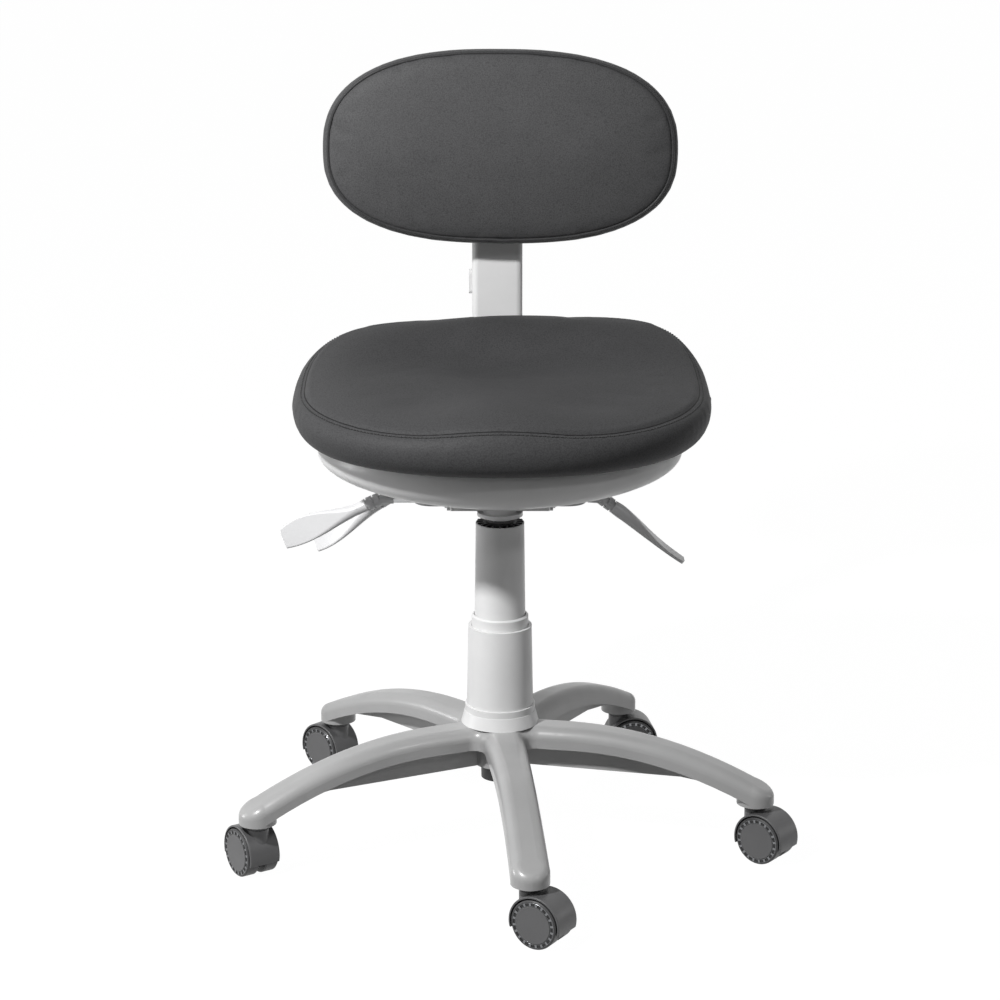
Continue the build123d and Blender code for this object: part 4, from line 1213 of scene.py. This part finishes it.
@dataclass
class CasterTrim:
    """Chrome ring with painted shade in its windows and a painted dark reflection, and the moulded
    cap on a caster wheel.

    Sizes are millimetres, and faces are measured from the caster's middle.
    """

    cap_radius: float = 19.3  # radius of the cap
    cap_face: float = 18.5  # where the cap's flat face lies
    cap_foot: Pair = (1.5, 1.0)  # how far in and how deep the hidden foot of the cap starts
    cap_round: Pair = (0.9, 0.95)  # radius and height of the cap's rounded edge
    cap_rise: float = 0.1  # how high that edge ends over the face
    # radius and height over the face, from the low rim inwards
    cap_dish: tuple[Pair, ...] = (
        (17.6, 0.12), (17.0, 0.02), (16.4, 0.02), (12.0, 0.06), (6.0, 0.10), (0.3, 0.12),
    )
    cap_sides: int = 72  # points round the cap
    ring_inner: float = 19.35  # inner radius of the chrome ring
    ring_outer: float = 23.15  # outer radius of the chrome ring
    ring_seat: float = 17.5  # where the ring's back lies
    ring_face: float = 18.1  # where the ring's face lies
    bevel: float = 0.25  # width of the ring's bevels
    windows: int = 20  # how many windows the ring has
    window_length: float = 4.3  # length of a window along the ring
    window_width: float = 2.7  # width of a window across the ring
    window_depth: float = 0.45  # depth of a window
    window_wall: float = 0.06  # half the run of a window's walls

    def axes(self, joint: dict, node: str) -> tuple[Array, Array, Array, Array]:
        """Centre and axes of a wheel, the last one outwards along its axle.

        Args:
            joint: the wheel's spin joint.
            node: the wheel's node.

        Returns:
            Centre in metres, two directions in the wheel's plane and the outward one.
        """
        centre, out = (np.array(joint[key], dtype=float) for key in ("pos_m", "axis"))
        low, high = (np.array(corner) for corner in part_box(node))
        if np.dot((low + high) / 2 - centre, out) < 0:
            out = -out
        up = np.array([0.0, 0.0, 1.0])
        return centre, np.cross(up, out), up, out

    def place(self, wheel: tuple, radius: Array, turn: Array, face: Array) -> Array:
        """Carry wheel coordinates into the part's frame.

        Args:
            wheel: centre and axes of the wheel.
            radius: distances from the axle in millimetres.
            turn: angles about the axle.
            face: distances from the caster's middle in millimetres.

        Returns:
            Points in metres.
        """
        centre, first, second, out = wheel
        radius, turn, face = (part[..., None] for part in np.broadcast_arrays(radius, turn, face))
        flat = radius * np.cos(turn) * first + radius * np.sin(turn) * second
        return centre + (flat + face * out) * MM

    def ring(self, name: str, wheel: tuple) -> Object:
        """Ring as a closed band whose windows are sunk into its face.

        Round the ring, each window's sector has eight angles; across it, the
        profile runs over the back, the outer bevel, the face with the
        window's strip, and the inner bevel.  A point of the strip that lies
        in a window drops by the window's depth.

        Args:
            name: the piece's name.
            wheel: centre and axes of the wheel.

        Returns:
            The ring.
        """
        middle, wall = (self.ring_inner + self.ring_outer) / 2, self.window_wall
        half, slack = self.window_length / 2 / middle, wall / middle
        pitch = 2 * np.pi / self.windows
        beside = (pitch / 2 + half) / 2
        angles = [-pitch / 2, -beside, -half - slack, -half + slack]
        angles += [0, half - slack, half + slack, beside]
        turn = (np.arange(self.windows)[:, None] * pitch + angles).ravel()
        in_window = np.tile([0, 0, 0, 1, 1, 1, 0, 0], self.windows)
        low, high = middle - self.window_width / 2, middle + self.window_width / 2
        inner, outer, seat, flat = self.ring_inner, self.ring_outer, self.ring_seat, self.ring_face
        bevel = flat - self.bevel
        profile = np.array([
            (inner, seat, 0), (outer, seat, 0), (outer, bevel, 0), (outer - self.bevel, flat, 0),
            (high + wall, flat, 0), (high - wall, flat, 1), (middle, flat, 1),
            (low + wall, flat, 1), (low - wall, flat, 0), (inner + self.bevel, flat, 0),
            (inner, bevel, 0),
        ])
        radius, face, in_strip = profile.T[..., None]
        face = face - self.window_depth * in_strip * in_window
        return surface(name, self.place(wheel, radius, turn[None], face), loop=True)

    def cap(self, name: str, wheel: tuple) -> Object:
        """Cap as a turned dish: a soft outer edge, a low rim and a flat middle.

        Args:
            name: the piece's name.
            wheel: centre and axes of the wheel.

        Returns:
            The cap.
        """
        foot_inset, foot_drop = self.cap_foot
        round_width, round_height = self.cap_round
        edge = np.linspace(0, np.pi / 2, 6)
        soft = np.stack([
            self.cap_radius - round_width * (1 - np.cos(edge)),
            self.cap_rise - round_height * (1 - np.sin(edge)),
        ], axis=-1)
        foot = [(self.cap_radius - foot_inset, -foot_drop)]
        radius, rise = np.concatenate([foot, soft, self.cap_dish]).T[..., None]
        grid = self.place(wheel, radius, turns(self.cap_sides)[None], self.cap_face + rise)
        return surface(name, grid)

    def build(self, joint: dict, node: str, finishes: dict[str, Material]) -> None:
        """Build one wheel's ring and cap, with painted shade on the windows' floors and walls.

        Args:
            joint: the wheel's spin joint.
            node: the wheel's node.
            finishes: every material of the stool.
        """
        wheel, body = self.axes(joint, node), joint["child"]
        ring = self.ring(body + "_ring", wheel)
        settle(ring, body, finishes["chrome"])
        # painted shade: the second slot is a near-black finish for the sunk window faces
        ring.data.materials.append(finishes["window"])
        offset = points_of(ring.data) - wheel[0]
        corners = np.empty(4 * len(ring.data.polygons), dtype=np.int32)
        ring.data.polygons.foreach_get("vertices", corners)
        corners = corners.reshape(-1, 4)
        face = (offset @ wheel[3] / MM)[corners]
        radius = (np.linalg.norm(np.cross(offset, wheel[3]), axis=1) / MM)[corners]
        clear = self.bevel + 0.15
        sunk = face.min(axis=1) < self.ring_face - 0.2
        sunk &= radius.min(axis=1) > self.ring_inner + clear
        sunk &= radius.max(axis=1) < self.ring_outer - clear
        ring.data.polygons.foreach_set("material_index", sunk.astype(np.int32))
        ring.data.shade_flat()
        settle(self.cap(body + "_cap", wheel), body, finishes["caster_cap"])


# ------------------------------------------------------------------ assembly
GREY = "#4c4c4d"
FINISHES: dict[str, Finish] = {
    # painted light: seat and back are one leatherette, made a shade darker on the seat (and its
    # piping) and lighter on the back for the light each gets
    "seat_cover": Leatherette("leatherette_seat_painted_darker", GREY, 0.6, pebble=1.3, seam_groove_and_shade=0.6),
    "back_cover": Leatherette("leatherette_back_painted_lighter", "#5c5c5d", 0.56, pebble=1.15),
    "piping": Leatherette("folded_leatherette_piping", shade(GREY, 0.95), 0.38, pebble=1.1),
    "thread": SpunThread("bonded_polyester_thread", "#161617", 0.6),
    "abs": MouldedPlastic("satin_white_abs", "#e6e6e6", 0.36, 1.53),
    "lever_abs": MouldedPlastic("satin_grey_abs", "#d9d9da", 0.34, 1.53),
    "base": MouldedPlastic(
        "glass_filled_nylon_grey", "#adadad", 0.33, 1.53, grit=1.1, relief=0.03, contrast=0.02,
        coat=0.15,
    ),
    "caster": MouldedPlastic("satin_nylon_dark", "#59595a", 0.38, 1.53, contrast=0.03),
    "caster_cap": MouldedPlastic("satin_nylon_cap", "#606061", 0.42, 1.53, contrast=0.02),
    "tread": MouldedPlastic("polyurethane_tread", "#3c3c3d", 0.5, contrast=0.05),
    "black": MouldedPlastic("moulded_black_nylon", "#19191a", 0.4, 1.53, contrast=0.05),
    # painted shade: near black for the floors and walls of the ring's windows
    "window": MouldedPlastic("window_painted_shade_black", "#0d0d0e", 0.6, 1.53),
    # painted reflection: the chrome's colour is darkened to stand in for the dark surroundings it
    # mirrors
    "chrome": PlatedMetal("chrome_plate_painted_dark_reflection", "#7d7e80", 0.2, variation=0.05),
    "zinc": PlatedMetal("zinc_plated_steel", "#b9babb", 0.34, variation=0.08, turning=0.6),
    "powder": MouldedPlastic(
        "black_powder_coat", "#1d1d1e", 0.5, grit=0.7, relief=0.04, contrast=0.04
    ),
    "silver": MouldedPlastic(
        "silver_powder_coat", "#b4b4b5", 0.45, grit=0.7, relief=0.04, contrast=0.03
    ),
    "birch": Birch("birch_plywood", "#cda777", 0.55),
}


@dataclass
class CarriedNodes:
    """Finishes of the solids that keep their own shape."""

    nodes: dict[str, Object]  # the frame's objects by name
    # the nodes that wear each finish
    named: dict[str, tuple[str, ...]] = field(default_factory=lambda: {
        "base": ("base_star",),
        "abs": ("cover_lower", "cover_middle", "cover_upper", "mechanism_housing", "seat_pan",
                "column_sleeve", "column_button"),
        "black": ("cover_collar", "back_shell", "guide_bush", "rod_seal"),
        "powder": ("back_arm", "back_bracket", "gas_cylinder", "stand_tube"),
        "silver": ("seat_plate",),
        "birch": ("seat_board", "back_board"),
    })
    # the finish of the other nodes by the end of their name
    endings: dict[str, str] = field(default_factory=lambda: {
        "_paddle": "lever_abs", "_rod": "zinc", "_hood": "caster", "_stem": "black",
        "_axle": "zinc", "_left": "tread", "_right": "tread",
    })
    rest: str = "zinc"  # the finish of what is left, the screws and the pins

    def build(self, finishes: dict[str, Material]) -> None:
        """Dress every node.

        Args:
            finishes: every material of the stool.
        """
        worn = {name: key for key, names in self.named.items() for name in names}
        for name, piece in self.nodes.items():
            ends = (key for end, key in self.endings.items() if name.endswith(end))
            dress(piece, finishes[worn.get(name) or next(ends, self.rest)])
        LOG.info("dressed %d nodes", len(self.nodes))


@dataclass
class Studio:
    """White studio: floor, soft lamps and the camera, all in metres."""

    eye: tuple[float, float, float] = (0.0, -2.80098, 1.13133)  # where the camera stands
    pitch: float = 15.2326  # how far it looks down, in degrees
    lens: float = 101.866  # focal length in millimetres on the sensor
    sensor: float = 36.0  # width of the sensor in millimetres
    floor_half: float = 30.0  # half the floor's side
    glow: float = 1.32  # strength of the floor's own light where it is seen
    glow_share: float = 0.75  # how much of the seen floor that light makes up
    fill: float = 0.045  # strength of the light from all round
    # name, place, side, power in watts and aim of each lamp
    lamps: tuple[tuple, ...] = (
        ("key", (-0.824, -0.933, 1.43), 0.1, 28, (0, 0, 0.4)),
        ("fill", (1.3, -1.6, 1.6), 0.12, 3.2, (0, 0, 0.3)),
        ("left_rim", (-1.9, 0.1, 0.5), 0.5, 7, (0, 0, 0.4)),
        ("right_rim", (1.9, 0.2, 0.4), 0.5, 1.5, (0, 0, 0.2)),
    )

    def camera(self) -> None:
        """Add the scene's camera."""
        camera = bpy.data.cameras.new("camera")
        camera.lens, camera.sensor_width = self.lens, self.sensor
        viewer = bpy.data.objects.new("camera", camera)
        viewer.location = self.eye
        viewer.rotation_euler = (math.radians(90 - self.pitch), 0, 0)
        bpy.context.scene.collection.objects.link(viewer)
        bpy.context.scene.camera = viewer

    def lamp(self, name: str, place: tuple, size: float, power: float, aim: tuple) -> None:
        """Add a square soft lamp that faces a point.

        Args:
            name: the lamp's name.
            place: where it hangs.
            size: its side.
            power: its power in watts.
            aim: the point that it faces.
        """
        light = bpy.data.lights.new(name, "AREA")
        light.shape, light.size, light.energy = "SQUARE", size, power
        holder = bpy.data.objects.new(name, light)
        holder.location = place
        holder.rotation_euler = (Vector(aim) - Vector(place)).to_track_quat("-Z", "Y").to_euler()
        bpy.context.scene.collection.objects.link(holder)

    def seen_or_lit(self, tree: NodeTree, lit: Node, seen: Node, output: str) -> None:
        """Show one shader to the eye, by gloss and glass too, and light with another.

        Args:
            tree: the node tree.
            lit: the shader for all other rays.
            seen: the shader for rays from the camera, off gloss or through glass.
            output: kind of the output node.
        """
        path = add_node(tree, "LightPath").outputs
        share = path["Is Camera Ray"]
        for ray in ("Is Glossy Ray", "Is Transmission Ray"):
            fields = {"operation": "MAXIMUM"}
            share = add_node(tree, "Math", fields, links={0: share, 1: path[ray]}).outputs[0]
        links = {0: share, 1: lit.outputs[0], 2: seen.outputs[0]}
        both = add_node(tree, "MixShader", links=links)
        add_node(tree, output, links={"Surface": both.outputs[0]})

    def floor(self) -> None:
        """Add the floor, white to the eye, which keeps a light shadow."""
        half = self.floor_half
        corners = np.array([(-half, -half, 0), (half, -half, 0), (half, half, 0), (-half, half, 0)])
        piece = new_piece("studio_floor", corners, [(0, 1, 2, 3)])
        material = bpy.data.materials.new("white_paper_roll")
        tree = empty_tree(material)
        paper = add_node(tree, "BsdfDiffuse", values={"Color": linear("#8a8a8a")})
        glow = add_node(tree, "Emission", values={"Color": WHITE, "Strength": self.glow})
        both = add_node(
            tree, "MixShader", values={0: self.glow_share},
            links={1: paper.outputs[0], 2: glow.outputs[0]},
        )
        self.seen_or_lit(tree, paper, both, "OutputMaterial")
        dress(piece, material)

    def world(self) -> None:
        """Set the world: white where it is seen, a plain fill where it lights."""
        world = bpy.data.worlds.new("studio")
        bpy.context.scene.world = world
        tree = empty_tree(world)
        fill, white = (
            add_node(tree, "Background", values={"Color": WHITE, "Strength": strength})
            for strength in (self.fill, 1.0)
        )
        self.seen_or_lit(tree, fill, white, "OutputWorld")

    def build(self) -> None:
        """Build the studio."""
        self.camera()
        self.floor()
        self.world()
        for lamp in self.lamps:
            self.lamp(*lamp)
        bpy.context.scene.view_settings.view_transform = "Standard"


def main() -> None:
    """Build the stool's looks in order."""
    logging.basicConfig(level=logging.INFO, format="%(message)s")
    Studio().build()
    finishes = {key: finish.build() for key, finish in FINISHES.items()}
    CarriedNodes(frame["nodes"]).build(finishes)
    SeatCushion().build(finishes["seat_cover"], finishes["thread"])
    BackCushion().build(finishes["back_cover"], finishes["piping"])
    spins = {joint["child"]: joint for joint in frame["joints"]}
    trim = CasterTrim()
    for index in range(1, 6):
        for side in Side:
            body = f"caster_{index}_{side.value}"
            trim.build(spins[body], f"caster_{index}_wheel_{side.value}", finishes)


if __name__ == "__main__":
    main()
